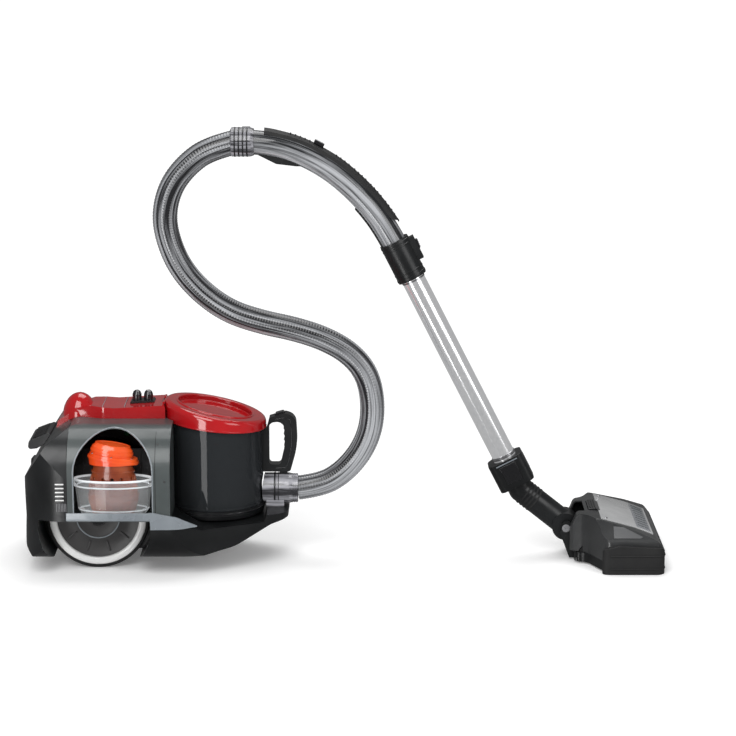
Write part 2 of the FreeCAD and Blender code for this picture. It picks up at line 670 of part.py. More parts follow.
def hose():
    """Flexible hose from the canister's port to the handle."""
    outer = swept_rod(HOSE_ROUTE, HOSE_R)
    length = tangent_path(HOSE_ROUTE).Length
    ideal = math.pi * HOSE_R ** 2 * length
    print("hose length %.0f, volume against section times length %.4f" % (length, outer.Volume / ideal))
    return outer.cut(swept_rod(HOSE_ROUTE, HOSE_BORE))


def hose_port():
    """Port on the canister's nose with the cradle that carries it."""
    front = POT_X + POT_R
    sleeve = pipe(PORT_R, PORT_R - 4, (front - 20, 0, PORT_Z), (-122, 0, PORT_Z))
    cradle = box(-139, -108, -22, 22, 92.2, 104)
    port = sleeve.fuse(cradle).removeSplitter()
    port = port.cut(rod(PORT_R - 4, (-200, 0, PORT_Z), (-90, 0, PORT_Z)))
    port = port.cut(rod(PORT_R + GAP, (-121.7, 0, PORT_Z), (-90, 0, PORT_Z)))
    return port.cut(rod(POT_R + 3.2, (POT_X, 0, 50), (POT_X, 0, 300)))


def hose_coupling():
    """Cuff that plugs into the port, with the recess of its catch."""
    cuff = turned([(HOSE_BORE, -121.6), (PORT_R, -121.6), (PORT_R, -100), (25, -92), (25, -84), (HOSE_BORE, -84)],
                  (0, 0, PORT_Z), X_AXIS)
    return cuff.cut(box(-117, -102, -6 - GAP, 6 + GAP, PORT_Z + 22.4, PORT_Z + 40))


def coupling_button():
    """Catch button on top of the hose coupling."""
    return side_prism([(-116.6, PORT_Z + 24.7, 0), (-116.6, PORT_Z + 29, 1.5), (-102.4, PORT_Z + 30, 1.5),
                       (-102.4, PORT_Z + 24.7, 0)], -6, 6)


# ---------------------------------------------------------------- handle
def along(point, distance):
    """A point further down the wand's line."""
    return point + WAND_DIR * distance


def on_wand(shape):
    """Place a shape built along +X from the origin, with +Z outwards, on the wand's upper end."""
    shape = shape.copy()
    turn = FreeCAD.Rotation(WAND_DIR, Y_AXIS, Vector(), "XYZ")
    shape.Placement = FreeCAD.Placement(WAND_TOP, turn).multiply(shape.Placement)
    return shape


def hose_cuff():
    """Cuff where the hose enters the handle."""
    profile = [(HOSE_R + 0.1, -16), (25, -14), (25, 18), (23, 24), (HOSE_R + 0.1, 24)]
    return turned(profile, (-180, 0, 731), X_AXIS)


def handle_tube():
    """Curved clear-grey suction tube of the handle."""
    return bent_tube(HANDLE_ROUTE, GRIP_R, HANDLE_BORE)


def grip_cover():
    """Black grip strip along the upper side of the handle tube."""
    strip = bent_tube(HANDLE_ROUTE, GRIP_R + 5, GRIP_R + 0.2)
    upper = side_prism([(-138, 716, 0), (-138, 775, 0), (60, 775, 0), (152, 600, 0), (112, 590, 0), (64, 606, 0),
                        (30, 652, 0), (-25, 699, 0), (-86, 731, 0)], -14, 14)
    return strip.common(upper)


def trigger_guard():
    """Wedge-shaped finger rest under the start of the grip."""
    wedge = side_prism([(-152, 711, 3), (-154, 718, 0), (-84, 708, 0), (-66, 690, 0), (-84, 690, 4),
                        (-118, 694, 10)],
                       -9, 9)
    return wedge.cut(swept_rod(HANDLE_ROUTE, GRIP_R + 0.2))


def relief_slider():
    """Suction relief slide on the grip's upper side."""
    slide = box(-9, 9, -7, 7, 0, 5)
    slide.Placement = FreeCAD.Placement(Vector(-45.6, 0, 726.6), FreeCAD.Rotation(Y_AXIS, 27.6))
    return slide


def tube_socket():
    """Dark socket at the handle's lower end that holds the wand."""
    sleeve = pipe(26, GRIP_R + 1.2, (-46, 0, 0), (0, 0, 0))
    lower = pipe(26, WAND_R + 0.5, (0, 0, 0), (26, 0, 0))
    boss = box(-40, 2, -10, 10, 20, 34)
    boss = boss.cut(rod(GRIP_R + 0.2, (-60, 0, 0), (0, 0, 0))).cut(rod(WAND_R + 0.5, (-1, 0, 0), (40, 0, 0)))
    socket = sleeve.fuse(lower).fuse(boss).removeSplitter()
    return on_wand(socket.cut(box(-32, -14, -7 - GAP, 7 + GAP, 24.9, 40)))


def tube_button():
    """Catch button that frees the wand."""
    button = side_prism([(-31.6, 28.3, 0), (-31.6, 38, 2), (-14.4, 36, 2), (-14.4, 28.3, 0)], -7, 7)
    return on_wand(button)


# ---------------------------------------------------------------- wand
def inner_tube():
    """Upper steel tube, fixed in the handle, that the outer tube slides on."""
    return on_wand(pipe(INNER_R, INNER_R - 1.2, (0.3, 0, 0), (INNER_LENGTH, 0, 0)))


def outer_tube():
    """Lower tube of the telescopic wand."""
    tube = pipe(WAND_R, WAND_R - 1.4, (2, 0, 0), (WAND_LENGTH, 0, 0))
    bush = pipe(WAND_R - 1.4, INNER_R + GAP, (4, 0, 0), (30, 0, 0))
    return on_wand(tube.fuse(bush).removeSplitter())


def nozzle_collar():
    """Black block that grips the wand's lower end."""
    block = box(WAND_LENGTH - 16, WAND_LENGTH + 36, -27, 27, -33, 31)
    edges = [edge for edge in block.Edges if abs(edge.Length - 52.0) < 1e-6]
    block = block.makeFillet(12, edges)
    block = block.cut(rod(WAND_R + 0.05, (WAND_LENGTH - 20, 0, 0), (WAND_LENGTH, 0, 0)))
    return on_wand(block.cut(rod(BALL_R + GAP, (WAND_LENGTH - 1, 0, 0), (WAND_LENGTH + 40, 0, 0))))


# ---------------------------------------------------------------- nozzle neck and head
def neck():
    """Elbow that swivels in the collar and ends in the tilt barrel of the head."""
    top = along(WAND_END, 3)
    knee = along(WAND_END, 50)
    upper = pipe(BALL_R, 16, tuple(top), tuple(knee))
    ball = Part.makeSphere(BALL_R, knee).cut(Part.makeSphere(16, knee))
    way = (NECK_END - knee).normalize()
    lower = pipe(BALL_R, 16, tuple(knee), tuple(NECK_END - way * 10))
    barrel = rod(TILT_R - 2.5, tuple(NECK_END - Y_AXIS * 24), tuple(NECK_END + Y_AXIS * 24))
    joined = upper.fuse(ball).fuse(lower).fuse(barrel).removeSplitter()
    joined = joined.cut(rod(16, tuple(top), tuple(knee)))
    joined = joined.cut(rod(16, tuple(knee), tuple(NECK_END - way * 14)))
    return joined.cut(rod(4 + FIT, tuple(NECK_END - Y_AXIS * 40), tuple(NECK_END + Y_AXIS * 40)))


def nozzle_cover():
    """Silver-grey upper shell of the head, wedge-shaped in side view."""
    side = [(392, 20, 0), (392, 60, 10), (404, 88, 8), (436, 89, 10), (500, 72, 60), (536, 58, 10), (544, 50, 0),
            (544, 20, 0)]
    plan = [(392, 46, 10), (420, 60, 30), (448, 122, 20), (544, 122, 10)]
    section = [(-122, 0, 0), (-122, 56, 16), (-84, 94, 30), (84, 94, 30), (122, 56, 16), (122, 0, 0)]
    outer = side_prism(side, -150, 150).common(plan_prism(mirrored(plan), 0, 120))
    outer = outer.common(front_prism(section, 380, 560))
    core = side_prism(side, -150, 150, 2.6).common(plan_prism(mirrored(plan), 0, 120, 2.6))
    core = core.common(front_prism(section, 380, 560, 2.6))
    core = core.fuse(core.translated(Vector(0, 0, -8)))
    shell = outer.cut(core)
    shell = shell.cut(rod(TILT_R, tuple(NECK_END - Y_AXIS * 27), tuple(NECK_END + Y_AXIS * 27)))
    for side in (-1, 1):
        ends = (ROLLER_X, side * 33, ROLLER_R), (ROLLER_X, side * 57, ROLLER_R)
        shell = shell.cut(rod(ROLLER_R + 2, *ends))
    return shell.cut(box(360, 418, -33.6, 33.6, 0, 100)).cut(pedal_well())


def pedal_well():
    """Opening in the head's top for the pedal."""
    return box(424, 456, -30 - GAP, 30 + GAP, 66, 100)


def sole_plate():
    """Floor plate with the suction slot, the fork for the neck and the rear roller bays."""
    plan = [(400, 58, 10), (420, 60, 20), (448, 121, 20), (542, 121, 10)]
    plate = plan_prism(mirrored(plan), 3, 19.6)
    plate = plate.cut(box(496, 522, -104, 104, 0, 30))
    plate = plate.cut(box(470, 486, -110, 110, -1, 12))
    ears = []
    for side in (-1, 1):
        y0, y1 = sorted((side * 27.6, side * 33))
        ear = side_prism([(376, 46, 4), (380, 68, 8), (394, 68, 8), (408, 19, 0), (402, 3, 0), (392, 3, 0)],
                         y0, y1)
        ears.append(ear)
    plate = plate.multiFuse(ears).removeSplitter()
    pin = rod(4, tuple(NECK_END - Y_AXIS * 33), tuple(NECK_END + Y_AXIS * 33))
    plate = plate.fuse(pin).removeSplitter()
    plate = plate.cut(box(402, 446, 34, 56, -1, 30)).cut(box(402, 446, -56, -34, -1, 30))
    return plate


def nozzle_bumper():
    """Soft black bumper round the front and the sides of the head, down to the floor."""
    plan_out = [(442, HEAD_HALF, 10), (HEAD_FRONT, HEAD_HALF, 16)]
    plan_in = [(430, HEAD_HALF - 8.6, 0), (HEAD_FRONT - 5.6, HEAD_HALF - 8.6, 10)]
    ring = plan_prism(mirrored(plan_out), 0, 50).cut(plan_prism(mirrored(plan_in), -5, 60))
    side = [(438, 0, 8), (438, 42, 12), (470, 50, 12), (HEAD_FRONT, 46, 8), (HEAD_FRONT, 0, 1.5)]
    return ring.common(side_prism(side, -140, 140)).cut(box(438, 448, -122, 122, -5, 60))


def roller(side):
    """One rear floor roller with its axle stubs."""
    return rod(ROLLER_R, (ROLLER_X, side * 36, ROLLER_R), (ROLLER_X, side * 54, ROLLER_R))


def nozzle_rollers():
    """The two rear rollers on their common thin axle."""
    axle = rod(2.5, (ROLLER_X, -59, ROLLER_R), (ROLLER_X, 59, ROLLER_R))
    return axle.multiFuse([roller(-1), roller(1)]).removeSplitter()


def roller_bore():
    """Clearance for the rollers' axle."""
    return rod(2.5 + FIT, (ROLLER_X, -59.5, ROLLER_R), (ROLLER_X, 59.5, ROLLER_R))


def pedal():
    """Foot pedal that lowers the brush strips."""
    return side_prism([(425, 76, 0), (425, 91, 3), (438, 92, 4), (455, 82, 3), (455, 73, 3)], -30, 30)


def brush_strips():
    """Two bristle strips in a carrier that moves down for hard floors."""
    carrier = box(471, 485, -109, 109, 7, 11)
    strips = [box(472, 475, -108, 108, 3.5, 7.5), box(481, 484, -108, 108, 3.5, 7.5)]
    return carrier.multiFuse(strips).removeSplitter()


def build():
    """Make every piece and write it."""
    os.makedirs("parts", exist_ok=True)
    shell = case_shell()
    pieces = {"chassis": chassis(), "side_casing_right": side_casing(-1, shell),
              "side_casing_left": side_casing(1, shell), "rear_casing": rear_casing(shell),
              "exhaust_door": exhaust_door(), "exhaust_filter": exhaust_filter(), "cable_outlet": cable_outlet(),
              "rear_grip": rear_grip(), "top_cover": top_cover(), "button_bezel": button_bezel(),
              "power_button": push_button(BUTTON_X[1]), "rewind_button": push_button(BUTTON_X[0]),
              "rear_axle": rear_axle(), "caster_fork": caster_fork(), "caster_wheel": caster_wheel(),
              "motor_bowl": motor_bowl(), "motor_housing": motor_housing(), "motor_cap": motor_cap(),
              "impeller": impeller(), "cable_drum": cable_drum(),
              "reel_axle": reel_axle(), "control_board": control_board(),
              "container_wall": container_wall(), "container_base": container_base(),
              "cyclone_cone": cyclone_cone(), "cyclone_screen": cyclone_screen(),
              "container_filter": container_filter(), "container_lid": container_lid(), "lid_seal": lid_seal(),
              "container_handle": container_handle(), "container_release": container_release(),
              "hose": hose(), "hose_port": hose_port(), "hose_coupling": hose_coupling(),
              "coupling_button": coupling_button(), "hose_cuff": hose_cuff(), "handle_tube": handle_tube(),
              "grip_cover": grip_cover(), "trigger_guard": trigger_guard(), "relief_slider": relief_slider(),
              "tube_socket": tube_socket(), "tube_button": tube_button(), "inner_tube": inner_tube(),
              "outer_tube": outer_tube(), "nozzle_collar": nozzle_collar(), "neck": neck(),
              "nozzle_cover": nozzle_cover(), "sole_plate": sole_plate().cut(roller_bore()),
              "nozzle_bumper": nozzle_bumper(), "nozzle_rollers": nozzle_rollers(), "pedal": pedal(),
              "brush_strips": brush_strips()}
    pieces["sill_trims"] = Part.makeCompound([sill(-1), sill(1)])
    pieces["wheel_housings"] = Part.makeCompound([wheel_housing(-1), wheel_housing(1)])
    for side, word in ((-1, "right"), (1, "left")):
        pieces["tyre_" + word] = tyre(side)
        pieces["rim_" + word] = rim(side)
        pieces["trim_ring_" + word] = trim_ring(side)
    for name, shape in pieces.items():
        save(name, shape)


build()
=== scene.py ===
"""Looks of the canister vacuum cleaner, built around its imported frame."""
import logging
import math
from dataclasses import dataclass, field
from enum import Enum
from typing import Callable, Iterable, Sequence

import bmesh
import bpy
from mathutils import Matrix, Vector


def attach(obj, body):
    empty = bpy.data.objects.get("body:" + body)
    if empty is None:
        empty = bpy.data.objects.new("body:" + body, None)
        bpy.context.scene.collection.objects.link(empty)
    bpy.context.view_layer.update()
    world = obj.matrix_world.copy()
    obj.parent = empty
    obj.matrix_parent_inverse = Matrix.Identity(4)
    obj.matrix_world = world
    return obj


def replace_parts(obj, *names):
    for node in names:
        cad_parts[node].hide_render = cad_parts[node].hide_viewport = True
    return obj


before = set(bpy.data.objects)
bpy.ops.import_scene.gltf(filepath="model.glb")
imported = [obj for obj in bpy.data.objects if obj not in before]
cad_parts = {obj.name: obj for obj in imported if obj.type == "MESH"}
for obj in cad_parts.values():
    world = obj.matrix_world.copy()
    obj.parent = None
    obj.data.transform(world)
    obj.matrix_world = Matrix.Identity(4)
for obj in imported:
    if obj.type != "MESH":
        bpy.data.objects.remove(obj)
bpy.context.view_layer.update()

MM = 0.001
LOG = logging.getLogger("vacuum")
Colour = tuple[float, float, float]
Profile = Sequence[tuple[float, float]]


# ---------------------------------------------------------------- shader helpers
def linked_group(name: str, inputs: dict[str, str], outputs: dict[str, str]) -> bpy.types.NodeTree:
    """Start a shader node group with named sockets.

    Args:
        name: the group's name.
        inputs: socket name to socket type.
        outputs: socket name to socket type.

    Returns:
        The new group with its two end nodes.
    """
    tree = bpy.data.node_groups.new(name, "ShaderNodeTree")
    for word, kind in inputs.items():
        tree.interface.new_socket(word, in_out="INPUT", socket_type=kind)
    for word, kind in outputs.items():
        tree.interface.new_socket(word, in_out="OUTPUT", socket_type=kind)
    tree.nodes.new("NodeGroupInput").name = "in"
    tree.nodes.new("NodeGroupOutput").name = "out"
    return tree


def noise(tree: bpy.types.NodeTree, detail: float, rough: float = 0.55) -> bpy.types.Node:
    """Add a noise texture with a given amount of detail."""
    node = tree.nodes.new("ShaderNodeTexNoise")
    node.inputs["Detail"].default_value = detail
    node.inputs["Roughness"].default_value = rough
    return node


def remap(tree: bpy.types.NodeTree, source: bpy.types.NodeSocket, low: float,
          high: float) -> bpy.types.Node:
    """Add a map range from low..high to 0..1 fed by a socket."""
    node = tree.nodes.new("ShaderNodeMapRange")
    node.inputs["From Min"].default_value = low
    node.inputs["From Max"].default_value = high
    tree.links.new(source, node.inputs["Value"])
    return node


def moulded_group() -> bpy.types.NodeTree:
    """Build the moulded-skin effect: fine spark texture, slow mottle and handling marks.

    Returns:
        A group giving colour, roughness and height.
    """
    floats = {"Grain": "NodeSocketFloat", "Rough": "NodeSocketFloat", "Marks": "NodeSocketFloat"}
    tree = linked_group("moulded_skin", {"Place": "NodeSocketVector", "Dark": "NodeSocketColor",
                                         "Light": "NodeSocketColor", **floats},
                        {"Colour": "NodeSocketColor", "Rough": "NodeSocketFloat",
                         "Height": "NodeSocketFloat"})
    start, end = tree.nodes["in"], tree.nodes["out"]
    slow = noise(tree, 3.0)
    slow.inputs["Scale"].default_value = 9.0
    fine = noise(tree, 2.0, 0.7)
    marks = noise(tree, 5.0, 0.6)
    marks.inputs["Scale"].default_value = 38.0
    for node in (slow, fine, marks):
        tree.links.new(start.outputs["Place"], node.inputs["Vector"])
    tree.links.new(start.outputs["Grain"], fine.inputs["Scale"])
    mask = remap(tree, slow.outputs["Fac"], 0.35, 0.65)
    mix = tree.nodes.new("ShaderNodeMix")
    mix.data_type = "RGBA"
    tree.links.new(mask.outputs["Result"], mix.inputs["Factor"])
    tree.links.new(start.outputs["Dark"], mix.inputs["A"])
    tree.links.new(start.outputs["Light"], mix.inputs["B"])
    worn = remap(tree, marks.outputs["Fac"], 0.45, 0.8)
    scaled = tree.nodes.new("ShaderNodeMath")
    scaled.operation = "MULTIPLY_ADD"
    tree.links.new(worn.outputs["Result"], scaled.inputs[0])
    tree.links.new(start.outputs["Marks"], scaled.inputs[1])
    tree.links.new(start.outputs["Rough"], scaled.inputs[2])
    tree.links.new(mix.outputs["Result"], end.inputs["Colour"])
    tree.links.new(scaled.outputs[0], end.inputs["Rough"])
    tree.links.new(fine.outputs["Fac"], end.inputs["Height"])
    return tree


def brushed_group() -> bpy.types.NodeTree:
    """Build drawn-metal streaks that run along the piece's own lay attribute or axis.

    Returns:
        A group giving a mask and a height.
    """
    tree = linked_group("drawn_streaks", {"Place": "NodeSocketVector", "Stretch": "NodeSocketVector"},
                        {"Mask": "NodeSocketFloat", "Height": "NodeSocketFloat"})
    start, end = tree.nodes["in"], tree.nodes["out"]
    stretch = tree.nodes.new("ShaderNodeVectorMath")
    stretch.operation = "MULTIPLY"
    tree.links.new(start.outputs["Place"], stretch.inputs[0])
    tree.links.new(start.outputs["Stretch"], stretch.inputs[1])
    lines = noise(tree, 4.0, 0.65)
    lines.inputs["Scale"].default_value = 1.0
    tree.links.new(stretch.outputs[0], lines.inputs["Vector"])
    mask = remap(tree, lines.outputs["Fac"], 0.3, 0.7)
    tree.links.new(mask.outputs["Result"], end.inputs["Mask"])
    tree.links.new(lines.outputs["Fac"], end.inputs["Height"])
    return tree


GROUPS: dict[str, bpy.types.NodeTree] = {}


def shared(name: str, maker: Callable[[], bpy.types.NodeTree]) -> bpy.types.NodeTree:
    """Return a shared node group, building it the first time."""
    if name not in GROUPS:
        GROUPS[name] = maker()
    return GROUPS[name]


def new_material(name: str) -> tuple[bpy.types.Material, bpy.types.NodeTree, bpy.types.Node]:
    """Start a material and return it with its tree and its Principled shader."""
    material = bpy.data.materials.new(name)
    material.use_nodes = True
    tree = material.node_tree
    return material, tree, tree.nodes["Principled BSDF"]


def place_node(tree: bpy.types.NodeTree) -> bpy.types.NodeSocket:
    """Return the Object coordinates of a material."""
    return tree.nodes.new("ShaderNodeTexCoord").outputs["Object"]


def bump(tree: bpy.types.NodeTree, shader: bpy.types.Node, height: bpy.types.NodeSocket, strength: float,
         distance: float) -> None:
    """Feed a height into the shader's normal."""
    node = tree.nodes.new("ShaderNodeBump")
    node.inputs["Strength"].default_value = strength
    node.inputs["Distance"].default_value = distance
    tree.links.new(height, node.inputs["Height"])
    tree.links.new(node.outputs["Normal"], shader.inputs["Normal"])


# ---------------------------------------------------------------- finishes
@dataclass(frozen=True)
class Moulded:
    """A moulded plastic or rubber, from dull to glossy."""
    name: str
    slot: str
    dark: Colour
    light: Colour
    rough: float = 0.42
    marks: float = 0.12
    grain: float = 1500.0
    depth: float = 0.00004
    strength: float = 0.35
    coat: float = 0.0
    painted_glow: float = 0.0

    def make(self) -> bpy.types.Material:
        """Build the material."""
        material, tree, shader = new_material(self.name)
        skin = tree.nodes.new("ShaderNodeGroup")
        skin.node_tree = shared("moulded", moulded_group)
        skin.inputs["Dark"].default_value = (*self.dark, 1)
        skin.inputs["Light"].default_value = (*self.light, 1)
        skin.inputs["Grain"].default_value = self.grain
        skin.inputs["Rough"].default_value = self.rough
        skin.inputs["Marks"].default_value = self.marks
        tree.links.new(place_node(tree), skin.inputs["Place"])
        tree.links.new(skin.outputs["Colour"], shader.inputs["Base Color"])
        tree.links.new(skin.outputs["Rough"], shader.inputs["Roughness"])
        bump(tree, shader, skin.outputs["Height"], self.strength, self.depth)
        shader.inputs["Coat Weight"].default_value = self.coat
        shader.inputs["Coat Roughness"].default_value = 0.06
        # Painted glow: emission in the skin's own colour makes the part look more brightly lit.
        if self.painted_glow:
            tree.links.new(skin.outputs["Colour"], shader.inputs["Emission Color"])
            shader.inputs["Emission Strength"].default_value = self.painted_glow
        return material


@dataclass(frozen=True)
class Metal:
    """A polished or brushed metal with streaks along one direction."""
    name: str
    slot: str
    dark: Colour
    light: Colour
    rough: float = 0.2
    stretch: tuple[float, float, float] = (900.0, 900.0, 12.0)
    painted_glow: float = 0.0

    def make(self) -> bpy.types.Material:
        """Build the material."""
        material, tree, shader = new_material(self.name)
        streaks = tree.nodes.new("ShaderNodeGroup")
        streaks.node_tree = shared("brushed", brushed_group)
        streaks.inputs["Stretch"].default_value = self.stretch
        tree.links.new(place_node(tree), streaks.inputs["Place"])
        mix = tree.nodes.new("ShaderNodeMix")
        mix.data_type = "RGBA"
        mix.inputs["A"].default_value = (*self.dark, 1)
        mix.inputs["B"].default_value = (*self.light, 1)
        tree.links.new(streaks.outputs["Mask"], mix.inputs["Factor"])
        tree.links.new(mix.outputs["Result"], shader.inputs["Base Color"])
        shader.inputs["Metallic"].default_value = 1.0
        shader.inputs["Roughness"].default_value = self.rough
        # Painted glow: emission in the metal's own colour brightens it as if it caught more light.
        tree.links.new(mix.outputs["Result"], shader.inputs["Emission Color"])
        shader.inputs["Emission Strength"].default_value = self.painted_glow
        bump(tree, shader, streaks.outputs["Height"], 0.12, 0.00005)
        return material


@dataclass(frozen=True)
class Clear:
    """A clear or smoked plastic with fine wear in its surface."""
    name: str
    slot: str
    tint: Colour
    rough: float = 0.04
    transmission: float = 1.0
    painted_glow: float = 0.0

    def make(self) -> bpy.types.Material:
        """Build the material."""
        material, tree, shader = new_material(self.name)
        skin = tree.nodes.new("ShaderNodeGroup")
        skin.node_tree = shared("moulded", moulded_group)
        skin.inputs["Dark"].default_value = (*(c * 0.92 for c in self.tint), 1)
        skin.inputs["Light"].default_value = (*self.tint, 1)
        skin.inputs["Grain"].default_value = 60.0
        skin.inputs["Rough"].default_value = self.rough
        skin.inputs["Marks"].default_value = 0.05
        tree.links.new(place_node(tree), skin.inputs["Place"])
        tree.links.new(skin.outputs["Colour"], shader.inputs["Base Color"])
        tree.links.new(skin.outputs["Rough"], shader.inputs["Roughness"])
        shader.inputs["Transmission Weight"].default_value = self.transmission
        shader.inputs["IOR"].default_value = 1.3
        # Painted glow: emission in the tint's own colour whitens the plastic as if lit.
        tree.links.new(skin.outputs["Colour"], shader.inputs["Emission Color"])
        shader.inputs["Emission Strength"].default_value = self.painted_glow
        return material


@dataclass(frozen=True)
class HoseSkin:
    """Grey see-through plastic with streaks along the lay attribute, or along X where there is none."""
    name: str
    slot: str
    dark: Colour
    light: Colour
    rough: float = 0.22
    streaks: float = 9.0
    has_lay: bool = True

    def make(self) -> bpy.types.Material:
        """Build the material."""
        material, tree, shader = new_material(self.name)
        lines = tree.nodes.new("ShaderNodeGroup")
        lines.node_tree = shared("brushed", brushed_group)
        if self.has_lay:
            lay = tree.nodes.new("ShaderNodeAttribute")
            lay.attribute_name = "lay"
            lines.inputs["Stretch"].default_value = (self.streaks * 0.34, self.streaks * 0.34, 3.0)
            tree.links.new(lay.outputs["Vector"], lines.inputs["Place"])
        else:
            lines.inputs["Stretch"].default_value = (6.0, self.streaks * 16.0, self.streaks * 16.0)
            tree.links.new(place_node(tree), lines.inputs["Place"])
        ramp = tree.nodes.new("ShaderNodeValToRGB")
        ramp.color_ramp.elements[0].position = 0.34
        ramp.color_ramp.elements[0].color = (*self.dark, 1)
        ramp.color_ramp.elements[1].position = 0.80
        ramp.color_ramp.elements[1].color = (*self.light, 1)
        tree.links.new(lines.outputs["Mask"], ramp.inputs["Fac"])
        tree.links.new(ramp.outputs["Color"], shader.inputs["Base Color"])
        shader.inputs["Roughness"].default_value = self.rough
        shader.inputs["Coat Weight"].default_value = 0.35
        bump(tree, shader, lines.outputs["Height"], 0.15, 0.0002)
        return material


@dataclass(frozen=True)
class Fibre:
    """Pleated filter fleece or bristle."""
    name: str
    slot: str
    dark: Colour
    light: Colour
    scale: float = 420.0

    def make(self) -> bpy.types.Material:
        """Build the material."""
        material, tree, shader = new_material(self.name)
        place = place_node(tree)
        cells = tree.nodes.new("ShaderNodeTexVoronoi")
        cells.inputs["Scale"].default_value = self.scale
        tree.links.new(place, cells.inputs["Vector"])
        ramp = tree.nodes.new("ShaderNodeValToRGB")
        ramp.color_ramp.elements[0].color = (*self.light, 1)
        ramp.color_ramp.elements[1].color = (*self.dark, 1)
        tree.links.new(cells.outputs["Distance"], ramp.inputs["Fac"])
        tree.links.new(ramp.outputs["Color"], shader.inputs["Base Color"])
        shader.inputs["Roughness"].default_value = 0.9
        shader.inputs["Sheen Weight"].default_value = 0.3
        bump(tree, shader, cells.outputs["Distance"], 0.5, 0.0003)
        return material


CASE_BLACK = Moulded("black_case_plastic", "case_black", (0.005, 0.0055, 0.006), (0.012, 0.013, 0.014),
                     0.30)
CASE_GREY = Moulded("graphite_side_plastic", "case_grey", (0.050, 0.060, 0.060), (0.075, 0.086, 0.086),
                    0.30, coat=0.2)
RED_GLOSS = Moulded("red_gloss_lacquer", "red_gloss", (0.34, 0.003, 0.006), (0.43, 0.006, 0.009), 0.12,
                    0.04, 90.0, strength=0.05, coat=0.8)
SILVER = Moulded("silver_lacquer", "silver", (0.17, 0.19, 0.21), (0.27, 0.30, 0.32), 0.24, coat=0.5)
RUBBER = Moulded("soft_black_rubber", "rubber_black", (0.007, 0.007, 0.008), (0.018, 0.018, 0.018),
                 0.62, 0.1, 900.0)
DISC_GREY = Moulded("wheel_disc_plastic", "wheel_grey", (0.035, 0.034, 0.035), (0.055, 0.053, 0.053),
                    0.38)
RING_WHITE = Moulded("white_ring_plastic", "white_ring", (0.72, 0.72, 0.72), (0.82, 0.82, 0.81), 0.24,
                     coat=0.5)
# The housing and the cap carry a painted glow; the cap's stronger one makes it look more brightly lit.
COPPER = Moulded("copper_fan_housing", "copper_orange", (0.20, 0.035, 0.012), (0.46, 0.12, 0.045),
                 0.20, coat=0.6, painted_glow=0.05)
ORANGE = Moulded("orange_motor_cap", "copper_orange", (0.62, 0.050, 0.008), (0.80, 0.11, 0.02), 0.20,
                 coat=0.6, painted_glow=0.16)
KEY_BLACK = Moulded("glossy_black_key", "key_black", (0.006, 0.006, 0.007), (0.012, 0.012, 0.014),
                    0.14, 0.06, coat=0.5)
DRUM_GREY = Moulded("inner_grey_plastic", "drum_grey", (0.16, 0.16, 0.17), (0.21, 0.21, 0.22), 0.4)
BOARD = Moulded("circuit_board_lacquer", "board", (0.01, 0.10, 0.04), (0.02, 0.16, 0.06), 0.3)
# Light grey of the head's top plate: partly the plate's own grey, partly a painted highlight on the top.
NOZZLE_GREY_AND_HIGHLIGHT = Moulded("grey_lacquer_painted_highlight", "nozzle_silver", (0.46, 0.465, 0.47), (0.60, 0.605, 0.61),
                        0.18, coat=0.6)
HEAD_DARK = Moulded("dark_head_plastic", "nozzle_silver", (0.020, 0.021, 0.022), (0.040, 0.041, 0.042),
                    0.28, coat=0.3)
PANEL_GREY = Moulded("mid_grey_panel", "nozzle_silver", (0.075, 0.077, 0.08), (0.105, 0.107, 0.11), 0.35)
INNER_BLACK = Moulded("dark_inner_plastic", "case_black", (0.004, 0.004, 0.005), (0.010, 0.010, 0.011),
                      0.6)
# The wand's painted glow stands in for the bright reflections on the chrome tube.
WAND_STEEL = Metal("polished_wand_tube", "chrome", (0.80, 0.81, 0.83), (0.97, 0.97, 0.98), 0.16,
                   (240.0, 700.0, 122.0), painted_glow=0.30)
STEEL = Metal("brushed_steel", "steel", (0.5, 0.5, 0.52), (0.72, 0.72, 0.74), 0.25)
# The bowl and its rim carry a painted glow that whitens them as if lit; the rim's white is partly its own
# frosted colour.
BOWL_CLEAR = Clear("clear_bowl_plastic", "clear", (0.95, 0.97, 0.98), 0.05, 0.95, painted_glow=0.035)
BOWL_RIM = Clear("frosted_bowl_rim", "clear", (0.92, 0.94, 0.96), 0.12, 0.25, painted_glow=0.18)
SMOKE = Clear("smoked_container_plastic", "smoke", (0.030, 0.033, 0.036), 0.03, 0.30)
SMOKE_LIGHT = Clear("smoked_window_plastic", "smoke_light", (0.30, 0.31, 0.33), 0.05, 0.35)
HOSE_GREY = HoseSkin("smoked_hose_plastic", "smoke_light", (0.012, 0.012, 0.014), (0.40, 0.41, 0.43))
HANDLE_GREY = HoseSkin("smoked_handle_plastic", "smoke_light", (0.016, 0.017, 0.019), (0.42, 0.43,
                       0.45), 0.12, 6.0)
PORT_GREY = HoseSkin("smoked_port_plastic", "smoke_light", (0.03, 0.03, 0.034), (0.38, 0.38, 0.41),
                     0.14, 7.0, False)
FLEECE = Fibre("white_filter_fleece", "filter", (0.5, 0.5, 0.48), (0.85, 0.85, 0.82))
BRISTLE = Fibre("black_bristle", "bristle", (0.005, 0.005, 0.005), (0.03, 0.03, 0.03), 900.0)

MATERIALS: dict[str, bpy.types.Material] = {}


def coat(finish: "Finish") -> bpy.types.Material:
    """Return a finish's material, building it the first time."""
    if finish.name not in MATERIALS:
        MATERIALS[finish.name] = finish.make()
    return MATERIALS[finish.name]


Finish = Moulded | Metal | Clear | HoseSkin | Fibre


def dress(node: str, finish: Finish) -> None:
    """Give a carried-over node its finish."""
    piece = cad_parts[node]
    piece.data.materials.clear()
    piece.data.materials.append(coat(finish))


